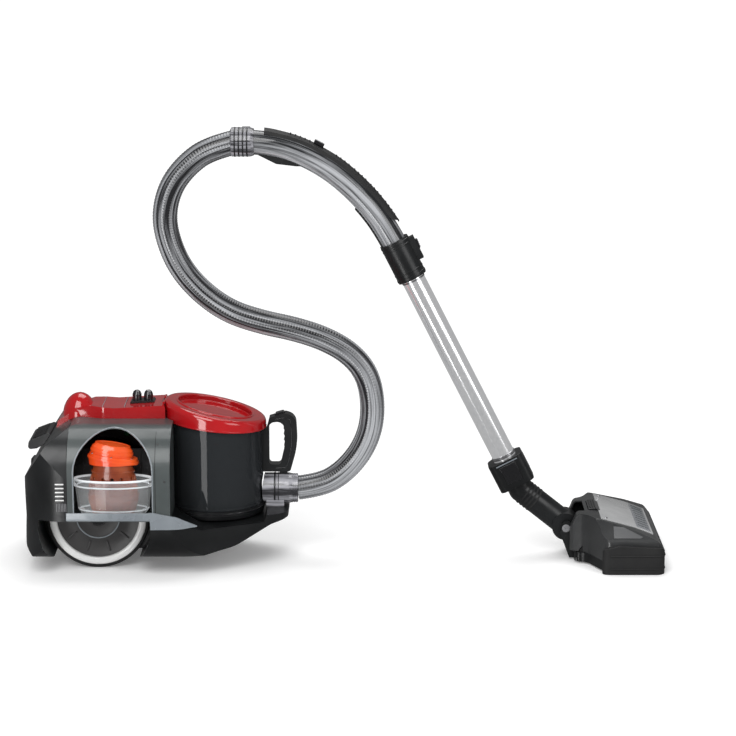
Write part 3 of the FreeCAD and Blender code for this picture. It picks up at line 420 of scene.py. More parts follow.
# ---------------------------------------------------------------- mesh helpers
def settle(bm: bmesh.types.BMesh, name: str, body: str, finish: Finish, crease: float = 32.0,
           fix_normals: bool = True) -> bpy.types.Object:
    """Turn a bmesh into a finished piece that rides on a body.

    Args:
        bm: the shape, in metres, in the frame.
        name: the piece's name.
        body: the body that it moves with.
        finish: its material.
        crease: edges sharper than this many degrees stay sharp.
        fix_normals: whether the faces are turned outwards first.

    Returns:
        The new object.
    """
    bmesh.ops.remove_doubles(bm, verts=bm.verts, dist=0.000005)
    if fix_normals:
        bmesh.ops.recalc_face_normals(bm, faces=bm.faces)
    limit = math.radians(crease)
    for face in bm.faces:
        face.smooth = True
    for edge in bm.edges:
        edge.smooth = len(edge.link_faces) == 2 and edge.calc_face_angle(0.0) < limit
    mesh = bpy.data.meshes.new(name)
    bm.to_mesh(mesh)
    bm.free()
    piece = bpy.data.objects.new(name, mesh)
    bpy.context.scene.collection.objects.link(piece)
    mesh.materials.append(coat(finish))
    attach(piece, body)
    LOG.info("%s: %d faces on %s", name, len(mesh.polygons), body)
    return piece


def revolve(bm: bmesh.types.BMesh, profile: Profile, base: Vector, axis: Vector, steps: int = 64) -> None:
    """Spin a closed (radius, height) profile, in millimetres, about an axis through a base point."""
    turn = Vector((0, 0, 1)).rotation_difference(axis).to_matrix()
    points = [bm.verts.new(base + turn @ Vector((r * MM, 0, h * MM))) for r, h in profile]
    edges = [bm.edges.new((a, b)) for a, b in zip(points, points[1:] + points[:1])]
    bmesh.ops.spin(bm, geom=points + edges, cent=base, axis=axis, dvec=(0, 0, 0), angle=math.tau,
                   steps=steps, use_merge=True, use_duplicate=False)


def ring_mesh(profile: Profile, base: Vector, axis: Vector, steps: int = 64) -> bmesh.types.BMesh:
    """Return a bmesh holding one revolved profile."""
    bm = bmesh.new()
    revolve(bm, profile, base, axis, steps)
    return bm


def block(bm: bmesh.types.BMesh, low: Sequence[float], high: Sequence[float], soften: float = 0.0,
          segments: int = 3, turn: Matrix | None = None) -> None:
    """Add a box between two corners in millimetres, with softened edges.

    Args:
        bm: the mesh that it is added to.
        low: lowest corner.
        high: highest corner.
        soften: bevel width in millimetres.
        segments: bevel segments.
        turn: a matrix that places the box, after it is made.
    """
    made = bmesh.ops.create_cube(bm, size=1.0)["verts"]
    size = [(b - a) * MM for a, b in zip(low, high)]
    middle = [(a + b) / 2 * MM for a, b in zip(low, high)]
    bmesh.ops.scale(bm, vec=size, verts=made)
    bmesh.ops.translate(bm, vec=middle, verts=made)
    if soften:
        edges = list({edge for vert in made for edge in vert.link_edges})
        result = bmesh.ops.bevel(bm, geom=edges, offset=soften * MM, offset_type="OFFSET",
                                 segments=segments, profile=0.5, affect="EDGES", material=-1)
        kept = {vert for vert in made if vert.is_valid}
        made = list({vert for face in result["faces"] for vert in face.verts} | kept)
    if turn is not None:
        bmesh.ops.transform(bm, matrix=turn, verts=made)


def screw(bm: bmesh.types.BMesh, centre: Sequence[float], radius: float, axis: Vector) -> None:
    """Add a pan-head screw with a hexagonal recess."""
    profile = [(0.0, -0.6), (radius, -0.6), (radius, radius * 0.35), (radius * 0.8, radius * 0.55),
               (radius * 0.45, radius * 0.55), (radius * 0.42, radius * 0.1), (0.0, radius * 0.1)]
    revolve(bm, profile, Vector(centre) * MM, axis, 18)


def smooth_line(points: Sequence[tuple[float, float, float]], dense: int = 12) -> list[Vector]:
    """Points along the NURBS curve of a list of control points.

    Args:
        points: control points in metres.
        dense: points per control point.

    Returns:
        The points of the smooth line.
    """
    curve = nurbs_object("smooth_line", points, dense)
    mesh = bpy.data.meshes.new_from_object(curve)
    line = [vert.co.copy() for vert in mesh.vertices]
    bpy.data.meshes.remove(mesh)
    bpy.data.objects.remove(curve)
    return line


def nurbs_object(name: str, points: Sequence[tuple[float, float, float]], dense: int) -> bpy.types.Object:
    """Make an unlinked curve object with one open NURBS spline through control points."""
    data = bpy.data.curves.new(name, "CURVE")
    data.dimensions = "3D"
    data.resolution_u = dense
    spline = data.splines.new("NURBS")
    spline.points.add(len(points) - 1)
    for point, place in zip(spline.points, points):
        point.co = (*place, 1.0)
    spline.order_u = 3
    spline.use_endpoint_u = True
    return bpy.data.objects.new(name, data)


def even_steps(line: Sequence[Vector], pitch: float) -> list[tuple[Vector, Vector]]:
    """Walk a line in equal steps.

    Args:
        line: points of the line.
        pitch: wanted step in metres.

    Returns:
        Place and direction at each step.
    """
    lengths = [0.0]
    for a, b in zip(line, line[1:]):
        lengths.append(lengths[-1] + (b - a).length)
    count = max(2, round(lengths[-1] / pitch))
    steps = []
    index = 0
    for number in range(count + 1):
        target = lengths[-1] * number / count
        while index < len(line) - 2 and lengths[index + 1] < target:
            index += 1
        part = (target - lengths[index]) / max(lengths[index + 1] - lengths[index], 1e-9)
        steps.append((line[index].lerp(line[index + 1], part), index + part))
    result = []
    for number, (place, _) in enumerate(steps):
        before = steps[max(number - 1, 0)][0]
        after = steps[min(number + 1, count)][0]
        result.append((place, (after - before).normalized()))
    return result


def skin_tube(steps: Sequence[tuple[Vector, Vector]], radius_at: Callable[[int], float], sides: int,
              closed_ends: bool = True) -> bmesh.types.BMesh:
    """Extrude a ring along steps of a line in the middle plane and store each vertex's lay.

    Args:
        steps: place and direction of each ring.
        radius_at: radius in metres of each ring, by its number.
        sides: vertices in each ring.
        closed_ends: whether the two ends are capped.

    Returns:
        The tube, whose float vector layer "lay" holds cosine and sine round it and metres along it.
    """
    bm = bmesh.new()
    lay = bm.verts.layers.float_vector.new("lay")
    ring = bmesh.ops.create_circle(bm, cap_ends=False, segments=sides, radius=1.0)["verts"]
    shape = [vert.co.copy() for vert in ring]
    along = 0.0
    edges = list({edge for vert in ring for edge in vert.link_edges})
    for number, (place, way) in enumerate(steps):
        if number:
            along += (place - steps[number - 1][0]).length
            grown = bmesh.ops.extrude_edge_only(bm, edges=edges)["geom"]
            ring = follow(ring, [item for item in grown if isinstance(item, bmesh.types.BMVert)])
            edges = [item for item in grown if isinstance(item, bmesh.types.BMEdge)
                     and item.verts[0] in set(ring) and item.verts[1] in set(ring)]
        up = way.cross(Vector((0, 1, 0))).normalized()
        side = way.cross(up).normalized()
        radius = radius_at(number)
        for vert, flat in zip(ring, shape):
            vert.co = place + (side * flat.x + up * flat.y) * radius
            vert[lay] = (flat.x, flat.y, along)
    if closed_ends:
        bmesh.ops.holes_fill(bm, edges=[edge for edge in bm.edges if edge.is_boundary], sides=0)
    return bm


def follow(ring: Sequence[bmesh.types.BMVert],
           grown: Iterable[bmesh.types.BMVert]) -> list[bmesh.types.BMVert]:
    """Put the vertices of an extruded ring in the order of the ring they came from."""
    pool = set(grown)
    ordered = []
    for vert in ring:
        for edge in vert.link_edges:
            other = edge.other_vert(vert)
            if other in pool:
                ordered.append(other)
                break
    return ordered


def cover_node(node: str, name: str, body: str, finish: Finish, soften: float, segments: int = 2,
               crease: float = 30.0) -> bpy.types.Object:
    """Make a softened copy of a carried-over node and let it stand for that node.

    Args:
        node: the node that is copied.
        name: the new piece's name.
        body: the body that it moves with.
        finish: its material.
        soften: bevel width in millimetres.
        segments: bevel segments.
        crease: edges sharper than this many degrees are softened.

    Returns:
        The new piece.
    """
    bm = bmesh.new()
    bm.from_mesh(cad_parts[node].data)
    bmesh.ops.remove_doubles(bm, verts=bm.verts, dist=0.00001)
    bmesh.ops.dissolve_limit(bm, angle_limit=math.radians(1.0), verts=bm.verts, edges=bm.edges)
    piece = settle(bm, name, body, finish, crease, fix_normals=False)
    bevel = piece.modifiers.new("soft_edges", "BEVEL")
    bevel.width = soften * MM
    bevel.segments = segments
    bevel.limit_method = "ANGLE"
    bevel.angle_limit = math.radians(crease)
    bevel.use_clamp_overlap = True
    bevel.harden_normals = True
    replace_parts(piece, node)
    return piece


# ---------------------------------------------------------------- studio
@dataclass
class Studio:
    """Pale floor, soft lights and the long-lens camera."""
    distance: float = 4.4
    elevation: float = 12.0
    target: tuple[float, float, float] = (0.039, 0.0, 0.336)
    focal: float = 123.6

    def build(self) -> None:
        """Make the floor, the lights, the world and the camera."""
        self.camera()
        self.floor()
        self.light("key_softbox", (-0.9, -2.4, 2.6), 2.2, 66.0)
        self.light("fill_softbox", (2.2, -2.0, 1.5), 1.6, 20.0)
        self.light("top_softbox", (0.1, 0.9, 2.9), 2.0, 40.0)
        self.light("strip_softbox", (-1.5, -2.6, -0.1), 0.8, 26.0, 1.9)
        self.air()
        bpy.context.scene.view_settings.view_transform = "Standard"

    def air(self) -> None:
        """White surroundings for the camera, dimmer ones for light and reflections."""
        world = bpy.data.worlds.new("studio_air")
        bpy.context.scene.world = world
        world.use_nodes = True
        tree = world.node_tree
        background = tree.nodes["Background"]
        background.inputs["Color"].default_value = (1.0, 1.0, 1.0, 1)
        rays = tree.nodes.new("ShaderNodeLightPath")
        seen = self.scaled(tree, rays.outputs["Is Camera Ray"], 0.68, 0.42)
        mirrored = self.scaled(tree, rays.outputs["Is Glossy Ray"], -0.25, 0.0)
        total = tree.nodes.new("ShaderNodeMath")
        tree.links.new(seen, total.inputs[0])
        tree.links.new(mirrored, total.inputs[1])
        tree.links.new(total.outputs[0], background.inputs["Strength"])

    def scaled(self, tree: bpy.types.NodeTree, source: bpy.types.NodeSocket, factor: float,
               offset: float) -> bpy.types.NodeSocket:
        """Return a socket's value times a factor plus an offset."""
        node = tree.nodes.new("ShaderNodeMath")
        node.operation = "MULTIPLY_ADD"
        node.inputs[1].default_value = factor
        node.inputs[2].default_value = offset
        tree.links.new(source, node.inputs[0])
        return node.outputs[0]

    def camera(self) -> None:
        """Place the camera on the machine's right, a little above it."""
        lens = bpy.data.cameras.new("studio_camera")
        lens.lens = self.focal
        lens.sensor_width = 36.0
        lens.clip_end = 50.0
        camera = bpy.data.objects.new("studio_camera", lens)
        bpy.context.scene.collection.objects.link(camera)
        rise = math.radians(self.elevation)
        target = Vector(self.target)
        camera.location = target + self.distance * Vector((0, -math.cos(rise), math.sin(rise)))
        camera.rotation_euler = (math.pi / 2 - rise, 0, 0)
        bpy.context.scene.camera = camera

    def floor(self) -> None:
        """Lay a white floor that fades into the surroundings away from the machine."""
        bm = bmesh.new()
        bmesh.ops.create_grid(bm, x_segments=1, y_segments=1, size=14.0)
        mesh = bpy.data.meshes.new("studio_floor")
        bm.to_mesh(mesh)
        bm.free()
        floor = bpy.data.objects.new("studio_floor", mesh)
        bpy.context.scene.collection.objects.link(floor)
        material, tree, shader = new_material("pale_floor")
        shader.inputs["Base Color"].default_value = (0.97, 0.97, 0.97, 1)
        shader.inputs["Roughness"].default_value = 0.8
        shader.inputs["Specular IOR Level"].default_value = 0.1
        shader.inputs["Emission Color"].default_value = (1, 1, 1, 1)
        shader.inputs["Emission Strength"].default_value = 0.12
        reach = tree.nodes.new("ShaderNodeVectorMath")
        reach.operation = "LENGTH"
        tree.links.new(place_node(tree), reach.inputs[0])
        fade = remap(tree, reach.outputs["Value"], 1.7, 0.8)
        tree.links.new(fade.outputs["Result"], shader.inputs["Alpha"])
        mesh.materials.append(material)
        floor.visible_glossy = False

    def light(self, name: str, place: tuple[float, float, float], size: float, power: float,
              height: float = 0.0) -> None:
        """Hang one softbox that points at the machine, square unless it is given a height."""
        data = bpy.data.lights.new(name, "AREA")
        data.shape = "RECTANGLE"
        data.size = size
        data.size_y = height or size
        data.energy = power
        lamp = bpy.data.objects.new(name, data)
        bpy.context.scene.collection.objects.link(lamp)
        lamp.location = place
        aim = Vector(self.target) - Vector(place)
        lamp.rotation_euler = aim.to_track_quat("-Z", "Y").to_euler()


# ---------------------------------------------------------------- suction line
@dataclass
class HoseLine:
    """The corrugated hose between the canister's port and the handle."""
    route: tuple[tuple[int, int], ...] = ((-84, 121), (-44, 126), (-7, 147), (25, 183), (44, 226),
                                          (48, 275), (38, 325), (10, 361), (-33, 387), (-86, 405),
                                          (-144, 417), (-202, 436), (-250, 471), (-286, 514),
                                          (-306, 563), (-312, 607), (-300, 654), (-271, 692),
                                          (-232, 720), (-186, 731))
    diameter: float = 0.043
    pitch: float = 0.0048
    depth: float = 0.0005

    def build(self) -> None:
        line = smooth_line([(x * MM, 0.0, z * MM) for x, z in self.route], 16)
        steps = even_steps(line, self.pitch / 4)
        bm = skin_tube(steps, self.radius, 40)
        hose = settle(bm, "corrugated_hose", "canister", HOSE_GREY, 60.0)
        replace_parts(hose, "hose")

    def radius(self, number: int) -> float:
        """Radius of a ring: ridges every four rings."""
        return self.diameter / 2 - self.depth * (0.5 - 0.5 * math.cos(math.tau * number / 4))


@dataclass
class PlainFinishes:
    """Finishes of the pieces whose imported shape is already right."""
    finishes: dict[str, Finish] = field(default_factory=lambda: {
        "chassis": CASE_BLACK, "side_casing_right": CASE_GREY, "side_casing_left": CASE_GREY,
        "rear_casing": CASE_BLACK, "exhaust_filter": FLEECE, "cable_outlet": RUBBER, "rear_grip": CASE_BLACK,
        "top_cover": RED_GLOSS, "button_bezel": CASE_BLACK, "sill_trims": SILVER,
        "wheel_housings": INNER_BLACK,
        "rear_axle": STEEL, "motor_bowl": BOWL_CLEAR, "motor_housing": COPPER, "motor_cap": ORANGE,
        "reel_axle": STEEL, "control_board": BOARD, "hose_port": PORT_GREY, "hose_coupling": PORT_GREY,
        "hose_cuff": PORT_GREY, "handle_tube": DRUM_GREY, "grip_cover": RUBBER, "trigger_guard": CASE_BLACK,
        "tube_socket": CASE_BLACK, "inner_tube": WAND_STEEL, "impeller": DRUM_GREY, "cable_drum": DRUM_GREY,
        "exhaust_door": CASE_BLACK, "power_button": KEY_BLACK, "rewind_button": KEY_BLACK,
        "container_wall": SMOKE, "container_base": CASE_BLACK, "cyclone_cone": DISC_GREY,
        "cyclone_screen": DISC_GREY, "container_handle": CASE_BLACK, "container_lid": RED_GLOSS,
        "lid_seal": RUBBER, "container_filter": FLEECE, "container_release": KEY_BLACK,
        "coupling_button": KEY_BLACK, "relief_slider": KEY_BLACK, "tube_button": KEY_BLACK,
        "outer_tube": WAND_STEEL, "nozzle_collar": CASE_BLACK, "neck": CASE_BLACK,
        "nozzle_cover": HEAD_DARK, "sole_plate": CASE_BLACK, "nozzle_bumper": RUBBER, "pedal": KEY_BLACK,
        "brush_strips": BRISTLE, "nozzle_rollers": RUBBER, "caster_fork": CASE_BLACK, "caster_wheel": RUBBER,
        "tyre_right": RUBBER, "tyre_left": RUBBER, "rim_right": DISC_GREY, "rim_left": DISC_GREY,
        "trim_ring_right": RING_WHITE, "trim_ring_left": RING_WHITE})

    def build(self) -> None:
        """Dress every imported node."""
        for node, finish in self.finishes.items():
            dress(node, finish)


# ---------------------------------------------------------------- wheels
class Side(Enum):
    """The two sides of the machine."""
    RIGHT = -1
    LEFT = 1

    @property
    def word(self) -> str:
        """The side's name in lower case."""
        return self.name.lower()


@dataclass
class RearWheel:
    """One rear wheel: treaded tyre, dished disc, raised ring, hub cap and white ring."""
    side: Side
    centre: tuple[float, float, float] = (-428.0, 0.0, 90.0)
    tread_blocks: int = 48
    spokes: int = 10

    def axis(self) -> Vector:
        """Outward direction of the axle."""
        return Vector((0, self.side.value, 0))

    def base(self) -> Vector:
        """The wheel's centre on the middle plane, in metres."""
        return Vector(self.centre) * MM

    def build(self) -> None:
        """Make the pieces of this wheel."""
        self.tyre()
        self.ring()
        self.disc()

    def tyre(self) -> None:
        """Soft tyre with a cross-grooved tread and rounded shoulders."""
        body = "wheel_" + self.side.word
        shoulder = [(math.cos(a), math.sin(a)) for a in (math.radians(d) for d in (90, 65, 40, 15))]
        inner = [(86.4 + 3.4 * y, 64.4 - 3.3 * x) for x, y in reversed(shoulder)]
        outer = [(86.4 + 3.4 * y, 82.2 + 3.5 * x) for x, y in shoulder]
        crown = [(89.9, 66.5), (89.9, 70.4), (88.9, 71.0), (88.9, 72.0), (89.9, 72.6), (89.9, 74.6),
                 (88.9, 75.2), (88.9, 76.2), (89.9, 76.8), (89.9, 80.2)]
        profile = [(76.2, 61.1), (84.0, 61.1), *sorted(inner, key=lambda p: p[1])[:3], *crown,
                   *sorted(outer, key=lambda p: p[1])[1:], (84.3, 85.9), (84.3, 82.0), (76.2, 82.0)]
        bm = ring_mesh(profile, self.base(), self.axis(), 96)
        tyre = settle(bm, "treaded_tyre_" + self.side.word, body, RUBBER, 40.0)
        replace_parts(tyre, "tyre_" + self.side.word)

    def ring(self) -> None:
        """White ring with a rolled section and a fine step."""
        arc = [(77.5 - 6.2 * math.cos(a), 84.4 + 2.7 * math.sin(a)) for a in
               (math.radians(d) for d in range(0, 181, 20))]
        profile = [(71.2, 82.2), *arc[1:-1], (84.0, 84.4), (84.0, 82.2)]
        bm = ring_mesh(profile, self.base(), self.axis(), 96)
        ring = settle(bm, "rolled_ring_" + self.side.word, "wheel_" + self.side.word, RING_WHITE, 50.0)
        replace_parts(ring, "trim_ring_" + self.side.word)

    def disc(self) -> None:
        """Dished disc with a thin bright ring, shallow spokes and a hub cap."""
        body = "wheel_" + self.side.word
        base, axis = self.base(), self.axis()
        profile = [(5.1, 61.1), (12.9, 61.1), (12.9, 74.0), (68.0, 77.0), (68.0, 62.2), (75.8, 62.2),
                   (75.8, 81.6), (70.6, 81.6), (66.0, 79.4), (44.0, 79.0), (40.0, 80.4), (34.5, 80.8),
                   (31.0, 79.6), (17.0, 80.2), (14.2, 83.4), (5.1, 83.4)]
        disc = settle(ring_mesh(profile, base, axis, 96), "dished_disc_" + self.side.word, body,
                      DISC_GREY, 28.0)
        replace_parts(disc, "rim_" + self.side.word)
        rib = [(36.3, 80.6), (38.2, 80.4), (38.4, 82.0), (37.3, 82.6), (36.1, 82.0)]
        settle(ring_mesh(rib, base, axis, 96), "bright_disc_ring_" + self.side.word, body, SILVER, 50.0)
        bm = bmesh.new()
        cap = [(0.0, 83.0), (14.0, 83.0), (14.0, 85.2), (12.4, 86.6), (9.0, 87.3), (4.0, 87.6),
               (0.0, 87.6)]
        revolve(bm, cap, base, axis, 48)
        settle(bm, "hub_cap_" + self.side.word, body, KEY_BLACK, 35.0)
        bm = bmesh.new()
        y = self.side.value * 79.9
        for number in range(self.spokes):
            turn = Matrix.Translation(base) @ Matrix.Rotation(math.tau * number / self.spokes, 4, "Y")
            block(bm, (46, y - 1.2, -1.6), (65, y + 1.2, 1.6), 0.7, 2, turn @ Matrix.Identity(4))
        settle(bm, "disc_ribs_" + self.side.word, body, DISC_GREY)


@dataclass
class FrontCaster:
    """Tread ring of the small front wheel."""
    centre: tuple[float, float, float] = (-278.0, 0.0, 16.0)

    def build(self) -> None:
        """Make the caster wheel with a grooved tread."""
        profile = [(2.6, -9.9), (7.0, -9.9), (8.0, -8.4), (12.0, -8.4), (13.0, -9.9), (14.6, -9.2),
                   (15.9, -7.0), (15.9, -1.4), (15.1, -0.9), (15.1, 0.9), (15.9, 1.4), (15.9, 7.0),
                   (14.6, 9.2), (13.0, 9.9), (12.0, 8.4), (8.0, 8.4), (7.0, 9.9), (2.6, 9.9)]
        bm = ring_mesh(profile, Vector(self.centre) * MM, Vector((0, 1, 0)), 48)
        wheel = settle(bm, "grooved_caster_wheel", "caster_roller", RUBBER)
        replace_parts(wheel, "caster_wheel")


# ---------------------------------------------------------------- canister details
@dataclass
class CanisterTrim:
    """Window lip, louvres, screws, seams and vents on the canister's casing."""
    case_half: float = 158.0
    shoulder: float = 78.0
    top: float = 256.0
    louvres: int = 5

    def build(self) -> None:
        """Add the trim."""
        self.window_lip()
        self.louvre_slats()
        self.side_vents()
        self.sill_bands()
        self.screws()
        self.seams()
        self.rear_details()
        self.key_marks()
        self.grip_ribs()

    def skin_y(self, z: float) -> float:
        """Half-width of the casing's outer skin at a height, in millimetres."""
        low = self.top - self.shoulder
        if z <= low:
            return self.case_half
        return self.case_half - self.shoulder + math.sqrt(max(self.shoulder ** 2 - (z - low) ** 2, 0.0))

    def bead_on_skin(self, name: str, outline: Sequence[tuple[float, float]], side: Side, radius: float,
                     lift: float, finish: Finish, closed: bool = False) -> None:
        """Lay a round bead along an (x, z) outline on the casing's skin."""
        points = [Vector((x, side.value * (self.skin_y(z) + lift), z)) * MM for x, z in outline]
        data = bpy.data.curves.new(name, "CURVE")
        data.dimensions = "3D"
        data.bevel_depth = radius * MM
        data.bevel_resolution = 3
        data.use_fill_caps = True
        spline = data.splines.new("POLY")
        spline.points.add(len(points) - 1)
        for point, place in zip(spline.points, points):
            point.co = (*place, 1.0)
        spline.use_cyclic_u = closed
        curve = bpy.data.objects.new(name, data)
        mesh = bpy.data.meshes.new_from_object(curve)
        bm = bmesh.new()
        bm.from_mesh(mesh)
        bpy.data.objects.remove(curve)
        bpy.data.meshes.remove(mesh)
        settle(bm, name, "canister", finish, 50.0)

    def arch(self, grow: float) -> list[tuple[float, float]]:
        """The window's arched outline, moved outwards by a distance."""
        radius = 62.0 + grow
        low, spring, middle = 112.0 - grow, 188.0, -394.0
        half = 66.0 + grow
        curve = [(middle + half * math.cos(a), spring + (radius + 2.0) * math.sin(a))
                 for a in (math.radians(d) for d in range(0, 181, 10))]
        return [(middle + half, low), *curve, (middle - half, low)]

    def window_lip(self) -> None:
        """Bright bead round the arched window."""
        self.bead_on_skin("window_lip", self.arch(1.4), Side.RIGHT, 1.5, -0.2, SILVER, True)

    def louvre_slats(self) -> None:
        """White slats in the louvres behind the window, on both sides."""
        for side in Side:
            bm = bmesh.new()
            for number in range(self.louvres):
                low = 138.4 + number * 7.0
                y = side.value * (self.case_half - 2.2)
                tilt = Matrix.Rotation(0.0, 4, "X")
                y0, y1 = sorted((y, y + side.value * 2.6))
                block(bm, (-492, y0, low), (-477, y1, low + 2.4),
                      0.7, 2, tilt)
            settle(bm, "louvre_slats_" + side.word, "canister", RING_WHITE)

    def sill_bands(self) -> None:
        """Silver bands along the casing's lower edge, behind the sill trims."""
        for side in Side:
            bm = bmesh.new()
            y0, y1 = sorted((side.value * (self.case_half - 0.4), side.value * (self.case_half + 2.0)))
            block(bm, (-474, y0, 103.4), (-332, y1, 117.6), 1.0, 3)
            settle(bm, "sill_band_" + side.word, "canister", SILVER)

    def side_vents(self) -> None:
        """Fine upright ribs below the louvres."""
        for side in Side:
            bm = bmesh.new()
            for number in range(7):
                x = -490 + number * 2.6
                y0, y1 = sorted((side.value * (self.case_half - 1.0),
                                 side.value * (self.case_half + 0.9)))
                block(bm, (x, y0, 120), (x + 1.3, y1, 134), 0.4, 2)
            settle(bm, "upright_ribs_" + side.word, "canister", DRUM_GREY)

    def screws(self) -> None:
        """Screws at the corners of both side casings."""
        for side in Side:
            bm = bmesh.new()
            for x, z in ((-306, 112), (-306, 172), (-318, 232)):
                y = side.value * (self.skin_y(z) - 0.4)
                slope = Vector((0, side.value, max(0.0, (z - 178) / self.shoulder)))
                screw(bm, (x, y, z), 1.9, slope.normalized())
            settle(bm, "casing_screws_" + side.word, "canister", DISC_GREY)

    def seams(self) -> None:
        """Dark seam between the rear casing and the side casings, and along the grey panel."""
        for side in Side:
            rise = [(-472.0, z) for z in range(104, 257, 8)]
            self.bead_on_skin("rear_seam_" + side.word, rise, side, 0.55, -0.1, INNER_BLACK)
            panel = [(-322.0, z) for z in range(104, 257, 8)]
            self.bead_on_skin("panel_seam_" + side.word, panel, side, 0.5, -0.1, INNER_BLACK)

    def rear_details(self) -> None:
        """Finger ribs on the rear lifting grip."""
        bm = bmesh.new()
        for number in range(7):
            y = -36 + number * 12
            turn = Matrix.Translation(Vector((-532, y, 224.5)) * MM)
            turn = turn @ Matrix.Rotation(math.radians(-21), 4, "Y")
            block(bm, (-12, -1.4, -1.2), (12, 1.4, 0.9), 0.8, 2, turn)
        settle(bm, "rear_grip_ribs", "canister", RUBBER)

    def key_marks(self) -> None:
        """Plain raised ring on one key and a bar on the other."""
        for body, x, mark in (("power_key", -344, "ring"), ("rewind_key", -364, "bar")):
            bm = bmesh.new()
            if mark == "ring":
                revolve(bm, [(2.6, 297.0), (3.6, 297.0), (3.6, 297.8), (2.6, 297.8)],
                        Vector((x * MM, 0, 0)), Vector((0, 0, 1)), 32)
            else:
                block(bm, (x - 0.6, -2.8, 297.0), (x + 0.6, 2.8, 297.8), 0.2, 2)
            settle(bm, "raised_" + mark + "_on_key", body, RING_WHITE)

    def grip_ribs(self) -> None:
        """Pale joint lines across the red spine."""
        bm = bmesh.new()
        for x in (-421.0, -383.0):
            block(bm, (x - 0.5, -38, 275.2), (x + 0.5, 38, 276.4), 0.3, 2)
        settle(bm, "spine_joint_lines", "canister", SILVER)


# ---------------------------------------------------------------- motor in its bowl
@dataclass
class MotorUnit:
    """Fins, bands and bolts of the motor behind the window, with its bowl rim and bay lining."""
    x: float = -396.0
    y: float = -123.0
    split: float = 200.0
    lean: float = 9.0

    def build(self) -> None:
        """Add the motor's details."""
        self.bands()
        self.fins()
        self.bolts()
        self.bowl_rim()
        self.bay_wall()

    def oval_band(self, bm: bmesh.types.BMesh, half_x: float, half_y: float, z: float, thick: float,
                  high: float, shift: float = 0.0, lean: float = 0.0) -> None:
        """Add an oval band of rounded section, flattened across the machine, leaning with the cap."""
        profile = [(1.0 - thick / half_x, -high / 2 / half_x),
                   (1.0 + thick / half_x * 0.5, -high / 2 / half_x), (1.0 + thick / half_x, 0.0),
                   (1.0 + thick / half_x * 0.5, high / 2 / half_x),
                   (1.0 - thick / half_x, high / 2 / half_x)]
        before = set(bm.verts)
        scaled = [(r * half_x, h * half_x) for r, h in profile]
        revolve(bm, scaled, Vector((0, 0, 0)), Vector((0, 0, 1)), 56)
        made = [vert for vert in bm.verts if vert not in before]
        bmesh.ops.scale(bm, vec=(1.0, half_y / half_x, 1.0), verts=made)
        bmesh.ops.translate(bm, vec=Vector((self.x + shift, self.y, z)) * MM, verts=made)
        bmesh.ops.rotate(bm, cent=Vector((self.x, self.y, self.split)) * MM, verts=made,
                         matrix=Matrix.Rotation(math.radians(lean), 3, "Y"))

    def bands(self) -> None:
        """Raised bands round the housing and the cap."""
        bm = bmesh.new()
        self.oval_band(bm, 43.6, 24.6, 143.0, 1.6, 4.0)
        self.oval_band(bm, 36.4, 22.9, 184.0, 1.3, 3.0)
        settle(bm, "housing_bands", "canister", COPPER, 45.0)
        bm = bmesh.new()
        self.oval_band(bm, 42.8, 25.0, 204.0, 1.6, 5.0, 0.0, self.lean)
        self.oval_band(bm, 35.8, 20.8, 217.0, 1.4, 5.0, -4.0, self.lean)
        self.oval_band(bm, 29.4, 17.2, 228.6, 1.2, 2.4, -4.0, self.lean)
        settle(bm, "cap_bands", "canister", ORANGE, 45.0)

    def fins(self) -> None:
        """Upright cooling fins round the housing."""
        bm = bmesh.new()
        for number in range(26):
            turn = math.tau * number / 26
            half_x, half_y = 38.8, 23.4
            place = Vector((self.x + half_x * math.cos(turn), self.y + half_y * math.sin(turn), 164)) * MM
            aim = Matrix.Translation(place) @ Matrix.Rotation(math.atan2(math.sin(turn) / half_y,
                                                                         math.cos(turn) / half_x), 4, "Z")
            lean = Matrix.Rotation(math.radians(-11.0), 4, "Y")
            block(bm, (-1.5, -0.8, -13), (1.6, 0.8, 13), 0.5, 2, aim @ lean)
        settle(bm, "cooling_fins", "canister", COPPER)

    def bolts(self) -> None:
        """Small bolts on the cap's shoulder."""
        bm = bmesh.new()
        for number in range(6):
            turn = math.tau * (number + 0.5) / 6
            screw(bm, (self.x - 2 + 39.0 * math.cos(turn), self.y + 22.4 * math.sin(turn), 211.2), 1.6,
                  Vector((0, 0, 1)))
        bmesh.ops.rotate(bm, cent=Vector((self.x, self.y, self.split)) * MM, verts=bm.verts,
                         matrix=Matrix.Rotation(math.radians(self.lean), 3, "Y"))
        settle(bm, "cap_bolts", "canister", STEEL)

    def bowl_rim(self) -> None:
        """Rolled whitish rim and foot ring of the bowl, brightened by a painted glow."""
        bm = bmesh.new()
        self.oval_band(bm, 66.6, 29.6, 169.4, 1.9, 3.6)
        self.oval_band(bm, 66.6, 29.6, 158.6, 1.6, 2.6)
        self.oval_band(bm, 59.0, 27.0, 117.0, 1.2, 2.4)
        settle(bm, "bowl_rim_beads", "canister", BOWL_RIM, 45.0)

    def bay_wall(self) -> None:
        """Dark lining behind the motor, with shallow ribs."""
        bm = bmesh.new()
        block(bm, (-468, -90.6, 105.4), (-312, -89.2, 214), 0.4, 2)
        for number in range(7):
            x = -452 + number * 20
            block(bm, (x, -92.2, 108), (x + 2, -90.4, 212), 0.5, 2)
        settle(bm, "motor_bay_lining", "canister", INNER_BLACK)


